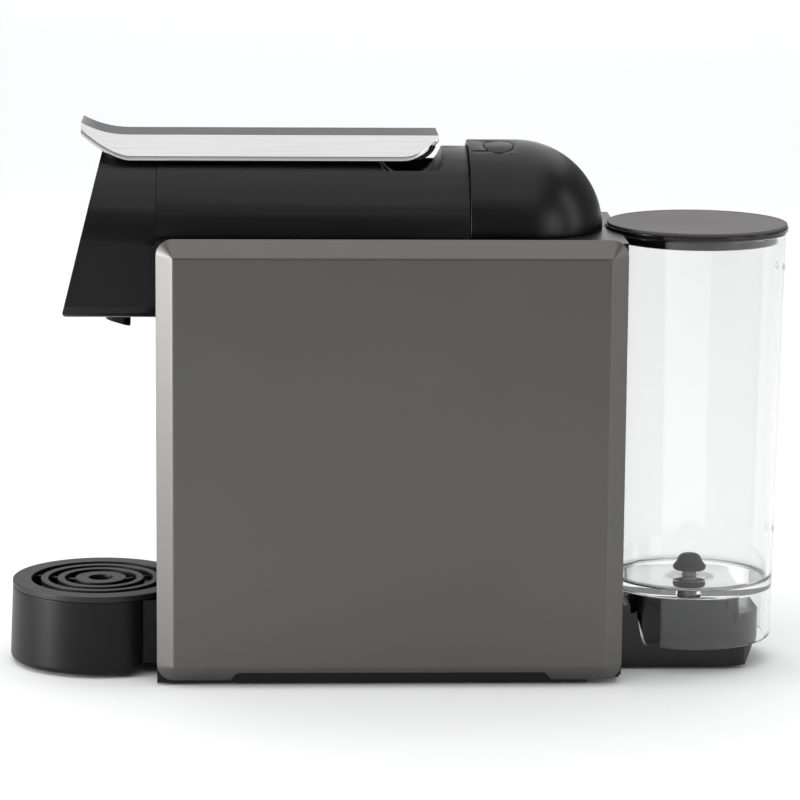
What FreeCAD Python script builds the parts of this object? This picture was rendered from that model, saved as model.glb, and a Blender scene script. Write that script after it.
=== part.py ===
"""Slim pod coffee machine, one solid per real piece, in millimetres.

Frame: origin on the worktop under the middle of the machine, +Z up.
The coffee outlet faces -Y, the water tank stands at +Y, X runs across the machine.
"""
import FreeCAD, Part
import math
import os
from FreeCAD import Vector

# ---- driving sizes ---------------------------------------------------------------
body_length = 194.0          # side panel, front to rear
body_height = 185.6          # side panel, bottom to top
machine_width = 109.0        # over both side panels
body_front = -101.2          # front edge of the side panels
panel_bottom = 2.0           # side panel above the worktop
panel_bevel = 7.17           # slanted border round the flat panel face, seen from the side
panel_depth = 6.2            # how far the panel face stands out from its border
panel_wall = 1.5
panel_notch_height = 4.2
shell_wall = 2.0             # moulded covers
frame_wall = 2.5             # moulded chassis
fit_gap = 0.3                # between separate covers
slide_gap = 0.15             # between flat faces that slide
shaft_gap = 0.06             # radial, round pins and shafts

base_bottom = 1.0            # underside of the base plate
base_thickness = 3.0
base_rim = 4.0
foot_radius = 7.0
foot_inset = 1.2             # how deep a foot sits in the base plate

cowl_radius = 37.0
cowl_crown = 220.1 - 187.6   # cowl top above the top of the side panels
deck_drop = 1.6              # chassis deck below the top of the side panels
deck_thickness = 2.0
dome_radius = 36.8
dome_length = 57.4           # from its front edge to its rear foot
dome_to_rear = 7.0           # rear foot of the dome to the rear edge of the side panels

head_depth_bottom = 39.0     # nose of the head in front of the panels, at its lower edge
head_depth_top = 22.8        # and at its upper edge
head_bottom_drop = 34.9      # lower edge of the head below the top of the side panels
head_corner = 3.0

lever_top_half = 14.6
lever_bead_half = 21.0
lever_wall = 1.6
lever_rise = 6.1             # lever top above the cowl crown
lever_bead_low = 4.3         # bead underside below the cowl crown
lever_bead_height = 2.9
lever_rear_radius = 10.0
lever_tip_reach = 31.1       # curled grip in front of the body
lever_tip_rise = 12.0        # grip tip above the cowl crown
lever_rear_setback = 12.6    # rear end of the lever in front of the dome
hinge_setback = 24.2         # hinge axis in front of the dome
hinge_pin_radius = 1.5
hinge_eye_radius = 2.8
well_radius = 13.6           # hollow in the cowl that clears the rear end of the lever

brew_axis_drop = 19.6        # brewing axis below the top of the side panels
chamber_radius = 21.0
chamber_length = 38.0
capsule_radius = 17.5
capsule_depth = 27.0
rear_pivot_offset = 15.8     # knee frame pivot behind the lever hinge
link_width = 10.0
link_thickness = 3.0
link_pin_radius = 2.0
lever_crank = (-24.0, -6.0)  # pull link pivot on the lever, from the hinge axis
brew_plate_x = 30.0          # inner face of the brewing unit side plates

drawer_half_width = 34.0
drawer_length = 66.4
drawer_headroom = 75.6       # body height above the capsule container
drawer_wall = 2.0
door_headroom = 55.4         # body height above the drawer door
neck_half_width = 29.0
neck_depth = 6.4
neck_height = 27.6

cup_radius_top = 37.25
cup_radius_bottom = 38.5
cup_bottom = 1.3
cup_top = 32.5
cup_wall = 2.0
cup_reach = 24.8             # drip cup centre in front of the side panels
grille_thickness = 2.5
grille_ring_edges = ((37.25, 29.4), (25.4, 22.25), (18.4, 15.25), (10.8, 5.1))
grille_rib_count = 8

tank_radius_top = 37.5
tank_radius_bottom = 34.85
tank_bottom = 11.0
tank_top = 185.0
tank_wall = 2.4
tank_floor_bottom = 32.4
tank_floor_top = 36.0
tank_gap = 1.7               # radial, between the tank and the hollow in the body
tank_inset = 4.26            # how far the tank reaches into that hollow
spigot_radius = 10.0
spigot_bore = 8.0
spigot_drop = 7.2
lid_overhang = 0.96
lid_thickness = 3.2
plug_gap = 0.8
plug_depth = 4.3
valve_stem_radius = 3.35
valve_flange_radius = 6.85
valve_cap_radius = 7.1
valve_lift = 2.5             # the base pin holds the valve this far open

hose_outer = 3.5
hose_inner = 2.2
water_bore = 1.2             # radius, through fittings
button_radius = 6.0
button_spacing = 19.0
pump_radius = 9.0
pump_bore = 5.05

# ---- places worked out from the driving sizes --------------------------------------
body_rear = body_front + body_length
panel_top = panel_bottom + body_height
half_width = machine_width / 2
panel_border_x = half_width - panel_depth
frame_half = panel_border_x - fit_gap
base_top = base_bottom + base_thickness
deck_top = panel_top - deck_drop
deck_bottom = deck_top - deck_thickness
crown = panel_top + cowl_crown
cowl_axis_z = crown - cowl_radius
dome_front = body_rear - dome_to_rear - dome_length
dome_centre_y = dome_front + dome_length - dome_radius
dome_axis_z = deck_top
cowl_rear = dome_front - fit_gap
head_bottom = panel_top - head_bottom_drop
front_wall_rear = body_front + 0.2 + frame_wall
hinge = (dome_front - hinge_setback, crown - 0.1)
crank = (hinge[0] + lever_crank[0], hinge[1] + lever_crank[1])
brew_z = panel_top - brew_axis_drop
extraction_face = body_front + 8.2
chamber_front = extraction_face + 1.0
chamber_rear = chamber_front + chamber_length
lug_y = chamber_rear + 6.0
rear_pivot_y = hinge[0] + rear_pivot_offset
link_length = (rear_pivot_y - lug_y) / 2
knee_y = rear_pivot_y - link_length
drawer_front_y = body_front + 0.2
drawer_plate_rear = front_wall_rear - fit_gap
drawer_height = body_height - drawer_headroom
drawer_front_height = body_height - door_headroom
drawer_bottom = base_top + 4.0
drawer_front_bottom = base_top + 0.4
drawer_top = drawer_bottom + drawer_height
drawer_rear = drawer_plate_rear + drawer_length
window_top = drawer_front_bottom + drawer_front_height + fit_gap
neck_front = drawer_front_y - neck_depth
cup_y = body_front - cup_reach
cup_back = neck_front - fit_gap
tank_y = body_rear + tank_radius_top - tank_inset
tank_clearance = tank_radius_top + tank_gap
lid_radius = tank_radius_top + lid_overhang
plug_radius = tank_radius_top - tank_wall - plug_gap
tank_height = tank_top - tank_bottom
rear_wall_front = body_rear - 10.8
rear_wall_rear = body_rear - 0.3
mid_y = (drawer_rear + rear_wall_front) / 2


# ---- shape helpers -------------------------------------------------------------
def box(x0, x1, y0, y1, z0, z1):
    """Block between two opposite corners."""
    return Part.makeBox(x1 - x0, y1 - y0, z1 - z0, Vector(x0, y0, z0))


def wide(half, y0, y1, z0, z1):
    """Block that reaches the same distance each side of the middle plane."""
    return box(-half, half, y0, y1, z0, z1)


def rod_x(radius, x0, x1, y, z):
    return Part.makeCylinder(radius, x1 - x0, Vector(x0, y, z), Vector(1, 0, 0))


def rod_y(radius, y0, y1, x, z):
    return Part.makeCylinder(radius, y1 - y0, Vector(x, y0, z), Vector(0, 1, 0))


def rod_z(radius, z0, z1, x, y):
    return Part.makeCylinder(radius, z1 - z0, Vector(x, y, z0), Vector(0, 0, 1))


def cone_z(radius0, radius1, z0, z1, x, y):
    return Part.makeCone(radius0, radius1, z1 - z0, Vector(x, y, z0), Vector(0, 0, 1))


def outline(steps):
    """Closed wire through points; a step of two points is an arc over the first one."""
    edges = []
    start = steps[0]
    here = start
    for step in steps[1:] + [start]:
        if isinstance(step[0], Vector):
            edges.append(Part.Arc(here, step[0], step[1]).toShape())
            here = step[1]
        elif (step - here).Length > 1e-6:
            edges.append(Part.makeLine(here, step))
            here = step
    return Part.Wire(edges)


def side_profile(steps, x0, x1):
    """Solid with an outline in the Y-Z plane, running across the machine."""
    def point(pair):
        return Vector(x0, pair[0], pair[1])
    path = [tuple(point(p) for p in s) if isinstance(s[0], tuple) else point(s) for s in steps]
    return Part.Face(outline(path)).extrude(Vector(x1 - x0, 0, 0))


def front_profile(points, y0, y1):
    """Solid with a straight-sided outline in the X-Z plane, running front to rear."""
    path = [Vector(x, y0, z) for x, z in points]
    return Part.Face(outline(path)).extrude(Vector(0, y1 - y0, 0))


def mirrored(shape):
    return shape.mirror(Vector(0, 0, 0), Vector(1, 0, 0))


def pair(shape):
    """The shape and its mirror image as one solid."""
    return shape.fuse(mirrored(shape))


def group(shapes):
    """Separate solids that share one node."""
    solids = []
    for shape in shapes:
        solids.extend(shape.Solids)
    return Part.makeCompound(solids)


def joined(first, *others):
    return first.fuse(list(others)).removeSplitter()


def hose(points, bend, outer=None, inner=None):
    """Hollow tube along straight stretches joined by arcs of one bend radius."""
    corners = [Vector(*p) for p in points]
    edges = []
    here = corners[0]
    for before, corner, after in zip(corners, corners[1:], corners[2:]):
        back = (before - corner).normalize()
        ahead = (after - corner).normalize()
        half_angle = back.getAngle(ahead) / 2
        reach = bend / math.tan(half_angle)
        inward = (back + ahead).normalize()
        middle = corner + inward * (bend / math.sin(half_angle) - bend)
        edges.append(Part.makeLine(here, corner + back * reach))
        edges.append(Part.Arc(corner + back * reach, middle, corner + ahead * reach).toShape())
        here = corner + ahead * reach
    edges.append(Part.makeLine(here, corners[-1]))
    path = Part.Wire(edges)

    def swept(radius):
        circle = Part.makeCircle(radius, corners[0], corners[1] - corners[0])
        return path.makePipeShell([Part.Wire([circle])], True, False)
    return swept(outer or hose_outer).cut(swept(inner or hose_inner))


def save(name, shape):
    shape.exportStep("parts/" + name + ".step")


os.makedirs("parts", exist_ok=True)


# ---- base, feet and chassis --------------------------------------------------------
base_rear_half = frame_half - 8.0
base_rear_start = body_rear - 14.8
foot_x = base_rear_half - foot_radius
foot_ys = (body_front + 24.0, body_rear - 34.0)
screw_x = frame_half - 8.0
screw_ys = (body_front + 11.2, rear_wall_front - 6.0)
flange_top = base_top + 3.0
screw_head_radius = 3.5
screw_radius = 1.5
rail_half = 30.0
gland_x = -36.0
gland_z = 16.0
gland_radius = 6.0


def base_plate():
    plate = wide(frame_half, drawer_front_y, base_rear_start, base_bottom, base_top)
    tail = wide(base_rear_half, base_rear_start, rear_wall_rear, base_bottom, base_top)
    post_rear = front_wall_rear + frame_wall
    rim = pair(box(frame_half - frame_wall, frame_half, post_rear, base_rear_start,
                   base_top, base_top + base_rim))
    toe = pair(box(frame_half - frame_wall, frame_half, drawer_front_y, front_wall_rear,
                   base_top, base_top + base_rim))
    rails = pair(box(rail_half - 4, rail_half, front_wall_rear + 1, drawer_rear,
                     base_top, drawer_bottom))
    shape = joined(plate, tail, rim, toe, rails)
    for x in (-foot_x, foot_x):
        for y in foot_ys:
            shape = shape.cut(rod_z(foot_radius, base_bottom, base_bottom + foot_inset, x, y))
    for screw in screws():
        shape = shape.cut(screw)
    return shape


def feet():
    made = []
    for x in (-foot_x, foot_x):
        for y in foot_ys:
            foot = rod_z(foot_radius, 0, base_bottom + foot_inset, x, y)
            made.append(foot.makeChamfer(0.5, [foot.Edges[2]]))
    return made


def screws():
    made = []
    for x in (-screw_x, screw_x):
        for y in screw_ys:
            head = rod_z(screw_head_radius, base_bottom, base_bottom + 1.6, x, y)
            made.append(head.fuse(rod_z(screw_radius, base_bottom + 1.6, flange_top, x, y)))
    return made


def front_frame():
    """Upright frame round the drawer window; its upper part closes the front of the body."""
    post = box(drawer_half_width + 1, frame_half, front_wall_rear, front_wall_rear + frame_wall,
               base_top, deck_bottom)
    foot = box(screw_x - 5, frame_half - frame_wall - fit_gap, front_wall_rear, screw_ys[0] + 6,
               base_top, flange_top)
    upper = wide(frame_half, drawer_front_y, front_wall_rear, window_top, deck_bottom)
    shape = joined(upper, post, mirrored(post), foot, mirrored(foot))
    for screw in screws():
        shape = shape.cut(screw)
    window = wide(duct_half + 0.4, body_front - 1, front_wall_rear + 1, duct_bottom - 0.4,
                  duct_top + 0.4)
    return shape.cut(window)


def rear_frame():
    """Rear wall, hollowed to clear the round tank, with the cable opening and tank base slot."""
    block = wide(frame_half, rear_wall_front, rear_wall_rear, base_top, deck_bottom)
    inside = wide(frame_half - frame_wall, rear_wall_front - 1, rear_wall_rear - frame_wall,
                  base_top - 1, deck_bottom + 1)
    inside = inside.cut(rod_z(tank_clearance + frame_wall, 0, panel_top, 0, tank_y))
    shape = block.cut(rod_z(tank_clearance, 0, panel_top, 0, tank_y)).cut(inside)
    foot = box(screw_x - 6, frame_half - frame_wall, screw_ys[1] - 6, rear_wall_front + 2,
               base_top, flange_top)
    shape = joined(shape, foot, mirrored(foot))
    shape = shape.cut(wide(base_neck_half + fit_gap, rear_wall_front - 1, body_rear + 1,
                           base_top - 1, base_neck_top + fit_gap))
    shape = shape.cut(rod_y(gland_radius, rear_wall_front - 1, body_rear, gland_x, gland_z))
    for screw in screws():
        shape = shape.cut(screw)
    return shape


def cable_gland():
    sleeve = rod_y(gland_radius, rear_wall_rear - 6, rear_wall_rear, gland_x, gland_z)
    collar = rod_y(gland_radius + 2, rear_wall_rear, rear_wall_rear + 3, gland_x, gland_z)
    nose = Part.makeCone(gland_radius, gland_radius - 1.5, 5,
                         Vector(gland_x, rear_wall_rear + 3, gland_z), Vector(0, 1, 0))
    shape = joined(sleeve, collar, nose)
    bore = wire_radius + shaft_gap
    return shape.cut(rod_y(bore, rear_wall_rear - 7, rear_wall_rear + 9, gland_x, gland_z))


deck_hole_half = brew_plate_x + link_thickness + 0.6
button_y = dome_front + 12.6
button_x = button_spacing / 2
board_leg_x = 17.0
board_leg_radius = 2.5
board_leg_ys = (dome_front + 5.6, dome_front + 23.6)
board_bottom = deck_top + 17.0
board_thickness = 1.6


def top_deck():
    shape = wide(frame_half, drawer_front_y, rear_wall_rear, deck_bottom, deck_top)
    shape = shape.cut(wide(deck_hole_half, front_wall_rear - slide_gap, dome_front - 0.4,
                           deck_bottom - 1, deck_top + 1))
    shape = shape.cut(wide(board_leg_x - 5, dome_front + 7.6, dome_front + 41.6,
                           deck_bottom - 1, deck_top + 1))
    shape = shape.cut(rod_z(tank_clearance, deck_bottom - 1, deck_top + 1, 0, tank_y))
    for screw in brew_frame_screws():
        shape = shape.cut(screw)
    return shape


# ---- side panels and the clips that hold them -----------------------------------------
peg_radius = 1.6
peg_reach = 4.0
peg_ys = (body_front + 12.2, rear_wall_front - 6.0)
peg_zs = (panel_bottom + 20.0, panel_top - 20.0)


def rounded_frame(x, inset, radius):
    """Rounded rectangle in the plane X = x, inset from the outline of the side panel."""
    y0, y1 = body_front + inset, body_rear - inset
    z0, z1 = panel_bottom + inset, panel_top - inset
    bow = radius * (1 - math.sqrt(0.5))

    def at(y, z):
        return Vector(x, y, z)
    return outline([
        at(y0 + radius, z0), at(y1 - radius, z0),
        (at(y1 - bow, z0 + bow), at(y1, z0 + radius)), at(y1, z1 - radius),
        (at(y1 - bow, z1 - bow), at(y1 - radius, z1)), at(y0 + radius, z1),
        (at(y0 + bow, z1 - bow), at(y0, z1 - radius)), at(y0, z0 + radius),
        (at(y0 + bow, z0 + bow), at(y0 + radius, z0))])


def side_panel():
    """Pressed cover with a flat face, a slanted border and four pegs inside."""
    outer = Part.makeLoft([rounded_frame(panel_border_x, 0, panel_bevel),
                           rounded_frame(half_width, panel_bevel, 0.4)], True, True)
    hollow = Part.makeLoft([rounded_frame(panel_border_x, panel_wall, panel_bevel - panel_wall),
                            rounded_frame(half_width - panel_wall, panel_bevel + panel_wall / 2, 0.4)],
                           True, True)
    shape = outer.cut(hollow)
    notch_front = body_front + 29.9
    notch_rear = body_rear - 28.7
    notch_top = panel_bottom + panel_notch_height
    slant = panel_notch_height + 0.1
    notch = side_profile([(notch_front - 1, panel_bottom - 1), (notch_rear + 1, panel_bottom - 1),
                          (notch_rear - slant, notch_top), (notch_front + slant, notch_top)],
                         panel_border_x - 1, half_width + 1)
    shape = shape.cut(notch)
    pegs = [rod_x(peg_radius, frame_half - peg_reach, half_width - panel_wall / 2, y, z)
            for y in peg_ys for z in peg_zs]
    return joined(shape, *pegs)


def panel_clips():
    """Socket blocks on the corners of the chassis that take the panel pegs."""
    made = []
    for z in peg_zs:
        front = box(frame_half - 5, frame_half, front_wall_rear + frame_wall, peg_ys[0] + 4,
                    z - 5, z + 5)
        rear = box(frame_half - 5, frame_half, peg_ys[1] - 4, rear_wall_front, z - 5, z + 5)
        for block, y in ((front, peg_ys[0]), (rear, peg_ys[1])):
            socket = block.cut(rod_x(peg_radius + fit_gap, frame_half - 6, frame_half + 1, y, z))
            made.extend([socket, mirrored(socket)])
    return made


# ---- top covers ------------------------------------------------------------------
ear_inner = 7.0
ear_outer = 10.0
slot_half = ear_inner - 0.2
well_half = lever_bead_half + 1.5
capsule_slot_half = 19.8
capsule_slot = (extraction_face - 4.5, extraction_face + 31.5)


def tunnel(radius, z_axis, y0, y1, z_low):
    """Half-round tunnel over the deck: a lying cylinder kept above one level."""
    roll = rod_y(radius, y0, y1, 0, z_axis)
    return roll.common(wide(radius + 1, y0, y1, z_low, z_axis + radius + 1))


def top_cowl():
    y0 = body_front + 0.2
    solid = tunnel(cowl_radius, cowl_axis_z, y0, cowl_rear, deck_top)
    inner = tunnel(cowl_radius - shell_wall, cowl_axis_z, y0 - 1, cowl_rear + 1, deck_top - 1)
    skin = solid.cut(inner)
    well = rod_x(well_radius + 1.5, -well_half - 1.5, well_half + 1.5, *hinge).common(solid)
    shape = skin.fuse(well).cut(rod_x(well_radius, -well_half, well_half, *hinge))
    shape = shape.cut(wide(capsule_slot_half, capsule_slot[0], capsule_slot[1], deck_top + 14, crown + 9))
    slot_front = hinge[0] + lever_crank[0] - 7.7
    shape = shape.cut(wide(slot_half, slot_front, hinge[0] + 1.8, deck_top + 14, crown + 9))
    ear = box(ear_inner, ear_outer, slot_front - 2.5, hinge[0], hinge[1] - 3.2, hinge[1] + hinge_eye_radius)
    ear = ear.fuse(rod_x(hinge_eye_radius, ear_inner, ear_outer, *hinge))
    shape = joined(shape, ear, mirrored(ear))
    return shape.cut(rod_x(hinge_pin_radius + shaft_gap, -ear_outer - 1, ear_outer + 1, *hinge))


def dome_solid(radius, y_start, z_low):
    barrel = rod_y(radius, y_start, dome_centre_y, 0, dome_axis_z)
    ball = Part.makeSphere(radius, Vector(0, dome_centre_y, dome_axis_z))
    whole = barrel.fuse(ball)
    keep = wide(radius + 1, y_start, dome_centre_y + radius + 1, z_low, dome_axis_z + radius + 1)
    return whole.common(keep)


def rear_dome():
    shape = dome_solid(dome_radius, dome_front, dome_axis_z)
    shape = shape.cut(dome_solid(dome_radius - shell_wall, dome_front - 1, dome_axis_z - 1))
    for x in (-button_x, button_x):
        hole = rod_z(button_radius + fit_gap, dome_axis_z + 20, dome_axis_z + 50, x, button_y)
        shape = shape.cut(hole)
    return shape


def head_solid(half, radius, skin):
    """Nose under the lever: slanted flat front, round top and rounded lower edges."""
    rise = crown - head_bottom
    lean = (head_depth_bottom - head_depth_top) / (rise - 2.0)
    front_low = body_front - head_depth_bottom + skin * math.hypot(1, lean)
    low = head_bottom + skin
    corner = head_corner
    rear = body_front + skin
    side = side_profile([(rear, low), (front_low + corner, low),
                         ((front_low + corner * 0.3, low + corner * 0.28),
                          (front_low + corner * lean, low + corner)),
                         (front_low + lean * (rise + 2), crown + 2), (rear, crown + 2)],
                        -half, half)
    depth = head_depth_bottom + 1
    tube = rod_y(radius, body_front - depth, rear, 0, cowl_axis_z)
    block = wide(half, body_front - depth, rear, low, cowl_axis_z)
    edges = [e for e in block.Edges
             if abs(e.CenterOfMass.z - low) < 1e-6 and abs(abs(e.CenterOfMass.x) - half) < 1e-6]
    block = block.makeFillet(5.0 - skin, edges)
    return side.common(tube.fuse(block))


def head_cover():
    shape = head_solid(cowl_radius, cowl_radius, 0.0)
    hollow = head_solid(cowl_radius - shell_wall, cowl_radius - shell_wall, shell_wall)
    shape = shape.cut(hollow)
    shape = shape.cut(rod_z(outlet_neck_radius + 0.4, head_bottom - 1, head_bottom + 5, 0, outlet_y))
    return shape


# ---- lever ------------------------------------------------------------------------
lever_top = crown + lever_rise
lever_low = crown - lever_bead_low
lever_rear = dome_front - lever_rear_setback
lever_curl = body_front - 12.8
lever_tip = body_front - lever_tip_reach


def lever():
    """Hollow chromed bar with a curled grip in front and a rounded heel behind."""
    heel_y = lever_rear - lever_rear_radius
    heel_z = lever_low + lever_rear_radius
    bow = lever_rear_radius * math.sqrt(0.5)
    tip_z = crown + lever_tip_rise
    side = side_profile([
        (lever_rear, lever_top), (lever_curl, lever_top),
        ((lever_curl - 9.5, lever_top + 1.4), (lever_tip + 1.3, tip_z)),
        ((lever_tip - 0.2, tip_z - 0.4), (lever_tip, tip_z - 1.6)),
        (lever_tip + 2.6, crown + 1.9),
        ((lever_tip + 5.2, crown - 1.9), (lever_tip + 9.3, lever_low + 1.2)),
        ((lever_curl - 3, lever_low + 0.2), (lever_curl, lever_low)),
        (heel_y, lever_low),
        ((heel_y + bow, heel_z - bow), (lever_rear, heel_z - 0.02))],
        -lever_bead_half, lever_bead_half)
    bead_top = lever_low + lever_bead_height
    section = [(lever_top_half, tip_z + 2), (lever_top_half, lever_top),
               (lever_bead_half - 0.7, bead_top), (lever_bead_half, bead_top - 0.5),
               (lever_bead_half, lever_low + 0.5), (lever_bead_half - 0.5, lever_low - 1)]
    whole = front_profile(section + [(-x, z) for x, z in reversed(section)],
                          lever_tip - 1, lever_rear + 1)
    shape = side.common(whole)
    roof = lever_top - lever_wall
    inner_section = [(lever_top_half - 1.4, roof), (lever_bead_half - 2.1, bead_top - 1),
                     (lever_bead_half - lever_wall, lever_low - 1)]
    hollow = front_profile(inner_section + [(-x, z) for x, z in reversed(inner_section)],
                           lever_curl - 4, lever_rear)
    radius_in = lever_rear_radius - lever_wall
    bow_in = radius_in * math.sqrt(0.5)
    reach = heel_y + math.sqrt(radius_in ** 2 - (heel_z - roof) ** 2)
    hollow_side = side_profile([
        (lever_curl - 4, lever_low - 2), (heel_y, lever_low - 2), (heel_y, lever_low + lever_wall),
        ((heel_y + bow_in, heel_z - bow_in), (reach, roof)), (lever_curl - 4, roof)],
        -lever_bead_half, lever_bead_half)
    shape = shape.cut(hollow.common(hollow_side))
    nose = head_solid(cowl_radius + 0.8, cowl_radius + 0.8, -0.8)
    shape = shape.cut(nose)
    ear_pass = wide(ear_outer + 3.7, heel_y - 1, hinge[0] + 5.3, lever_low - 1, lever_low + 2.7)
    link_pass = wide(pull_half + 0.6, heel_y - 1, lever_rear - 1.8, lever_low - 1, lever_low + 4.2)
    return shape.cut(ear_pass).cut(link_pass)


core_top = lever_top - lever_wall
core_bottom = core_top - 1.2
hinge_lug = (ear_outer + 0.3, ear_outer + 2.9)
crank_lug = (3.3, 6.2)


def lever_core():
    """Moulded insert under the lever roof that carries the hinge and pull link lugs."""
    plate = wide(hinge_lug[1], body_front + 3, hinge[0] + 6.8, core_bottom, core_top)
    lug = rod_x(3.0, hinge_lug[0], hinge_lug[1], *hinge)
    lug = lug.fuse(box(hinge_lug[0], hinge_lug[1], hinge[0] - 3, hinge[0] + 3, hinge[1], core_bottom))
    arm = rod_x(3.2, crank_lug[0], crank_lug[1], *crank)
    arm = arm.fuse(box(crank_lug[0], crank_lug[1], crank[0] - 3.2, crank[0] + 3.2, crank[1], core_bottom))
    shape = joined(plate, lug, mirrored(lug), arm, mirrored(arm))
    shape = shape.cut(rod_x(hinge_pin_radius, -20, 20, *hinge))
    return shape.cut(rod_x(hinge_pin_radius, -20, 20, *crank))


def lever_pins():
    return [rod_x(hinge_pin_radius, -hinge_lug[1], hinge_lug[1], *hinge),
            rod_x(hinge_pin_radius, -crank_lug[1], crank_lug[1], *crank)]


# ---- knee linkage -----------------------------------------------------------------
lug_x = (12.0, 15.0)
front_link_x = (lug_x[1] + 0.4, lug_x[1] + 0.4 + link_thickness)
rear_link_x = (front_link_x[1] + 0.4, front_link_x[1] + 0.4 + link_thickness)
pull_half = 3.0
open_eye = 1.6               # clearance of the eye at the opened pivot


def bar(x0, x1, start, end, width):
    """Flat link with round ends between two pivots given as (y, z)."""
    reach = Vector(0, end[0] - start[0], end[1] - start[1])
    side = Vector(1, 0, 0).cross(reach).normalize() * (width / 2)
    a = Vector(x0, start[0], start[1])
    b = Vector(x0, end[0], end[1])
    web = Part.Face(outline([a + side, b + side, b - side, a - side])).extrude(Vector(x1 - x0, 0, 0))
    return joined(web, rod_x(width / 2, x0, x1, *start), rod_x(width / 2, x0, x1, *end))


def rear_links():
    """Pair of links on the frame pivot, joined by the knee pin."""
    one = bar(rear_link_x[0], rear_link_x[1], (rear_pivot_y, brew_z), (knee_y, brew_z), link_width)
    one = one.cut(rod_x(link_pin_radius + shaft_gap, 0, 40, rear_pivot_y, brew_z))
    pin = rod_x(link_pin_radius, -rear_link_x[1], rear_link_x[1], knee_y, brew_z)
    return joined(one, mirrored(one), pin)


def front_links():
    one = bar(front_link_x[0], front_link_x[1], (knee_y, brew_z), (lug_y, brew_z), link_width)
    one = one.cut(rod_x(link_pin_radius + shaft_gap, 0, 40, knee_y, brew_z))
    one = one.cut(rod_x(link_pin_radius + shaft_gap, 0, 40, lug_y, brew_z))
    return [one, mirrored(one)]


def pull_link():
    lower = rod_x(link_pin_radius + open_eye + 2.2, -pull_half, pull_half, knee_y, brew_z)
    shape = joined(bar(-pull_half, pull_half, crank, (knee_y, brew_z), 7.0), lower)
    shape = shape.cut(rod_x(hinge_pin_radius + shaft_gap, -9, 9, *crank))
    return shape.cut(rod_x(link_pin_radius + open_eye, -9, 9, knee_y, brew_z))


# ---- brewing unit -----------------------------------------------------------------
plate_outer = brew_plate_x + link_thickness
plate_z = (brew_z - 18.0, brew_z + 22.0)
plate_rear = rear_pivot_y + 8.0
rail_half_height = 2.0
tab_ys = (extraction_face + 38.0, hinge[0] + 4.0)
tab_reach = 7.0
tie_y = plate_rear - 5.0
duct_half = 5.5
duct_bottom = head_bottom + 5.3
duct_top = duct_bottom + 6.0
outlet_y = body_front - 16.6
outlet_neck_radius = 5.0


def brew_frame():
    """One side plate of the brewing unit, with its slide slot, pivot hole and deck tabs."""
    shape = box(brew_plate_x, plate_outer, front_wall_rear, plate_rear, *plate_z)
    slot_end = chamber_rear + 2 * link_length * (1 - math.cos(math.radians(59))) + 2
    slot = box(brew_plate_x - 1, plate_outer + 1, chamber_front + 4, slot_end,
               brew_z - rail_half_height - slide_gap, brew_z + rail_half_height + slide_gap)
    shape = shape.cut(slot)
    for y in tab_ys:
        tab = box(plate_outer - 0.5, plate_outer + tab_reach, y, y + 10, deck_bottom - 3, deck_bottom)
        shape = shape.fuse(tab)
    shape = shape.cut(rod_x(link_pin_radius, 0, 40, rear_pivot_y, brew_z))
    shape = shape.cut(rod_x(2.5, 0, 40, tie_y, plate_z[0] + 5))
    for screw in brew_frame_screws():
        shape = shape.cut(screw)
    return shape.removeSplitter()


def brew_frame_screws():
    made = []
    for x in (-plate_outer - 3.5, plate_outer + 3.5):
        for y in tab_ys:
            head = rod_z(2.4, deck_bottom - 4.6, deck_bottom - 3, x, y + 5)
            made.append(head.fuse(rod_z(1.0, deck_bottom - 3, deck_top - 0.6, x, y + 5)))
    return made


def frame_pins():
    """Knee pivot with its spacer collars, and the tie rod under it."""
    pivot = rod_x(link_pin_radius, -plate_outer, plate_outer, rear_pivot_y, brew_z)
    collar = rod_x(3.5, rear_link_x[1] + fit_gap, brew_plate_x, rear_pivot_y, brew_z)
    tie = rod_x(2.5, -plate_outer, plate_outer, tie_y, plate_z[0] + 5)
    return [joined(pivot, collar, mirrored(collar)), tie]


def extraction_plate():
    block = wide(brew_plate_x, front_wall_rear, front_wall_rear + 3.5, *plate_z)
    disc = rod_y(17.0, front_wall_rear + 3.5, extraction_face, 0, brew_z)
    shape = joined(block, disc)
    for turn in range(6):
        angle = math.radians(60 * turn)
        x, z = 9 * math.cos(angle), brew_z + 9 * math.sin(angle)
        shape = shape.cut(rod_y(1.2, extraction_face - 1.5, extraction_face + 1, x, z))
    return shape.cut(wide(3, front_wall_rear - 1, extraction_face + 1, duct_bottom + 1.5, duct_top - 1.5))


def extraction_seal():
    ring = rod_y(20.0, extraction_face - 2, extraction_face + 0.7, 0, brew_z)
    return ring.cut(rod_y(17.0, extraction_face - 3, extraction_face + 1, 0, brew_z))


def brew_duct():
    shape = wide(duct_half, outlet_y - 5.5, front_wall_rear, duct_bottom, duct_top)
    channel = wide(duct_half - 1.5, outlet_y - 4, front_wall_rear + 1, duct_bottom + 1.5, duct_top - 1.5)
    return shape.cut(channel).cut(rod_z(3, duct_bottom - 1, duct_bottom + 2, 0, outlet_y))


def coffee_outlet():
    """Short spout under the head with a slanted lower edge."""
    front, rear = outlet_y - 5.2, outlet_y + 5.1
    nozzle = side_profile([(front, head_bottom - 5.3), (rear, head_bottom - 8.4),
                           (rear, head_bottom - fit_gap), (front, head_bottom - fit_gap)], -6.5, 6.5)
    upright = [e for e in nozzle.Edges if abs(e.tangentAt(e.FirstParameter).z) > 0.99]
    nozzle = nozzle.makeFillet(3.5, upright)
    neck = rod_z(outlet_neck_radius, head_bottom - 2, duct_bottom, 0, outlet_y)
    return joined(nozzle, neck).cut(rod_z(3, head_bottom - 12, duct_bottom + 1, 0, outlet_y))


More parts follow.
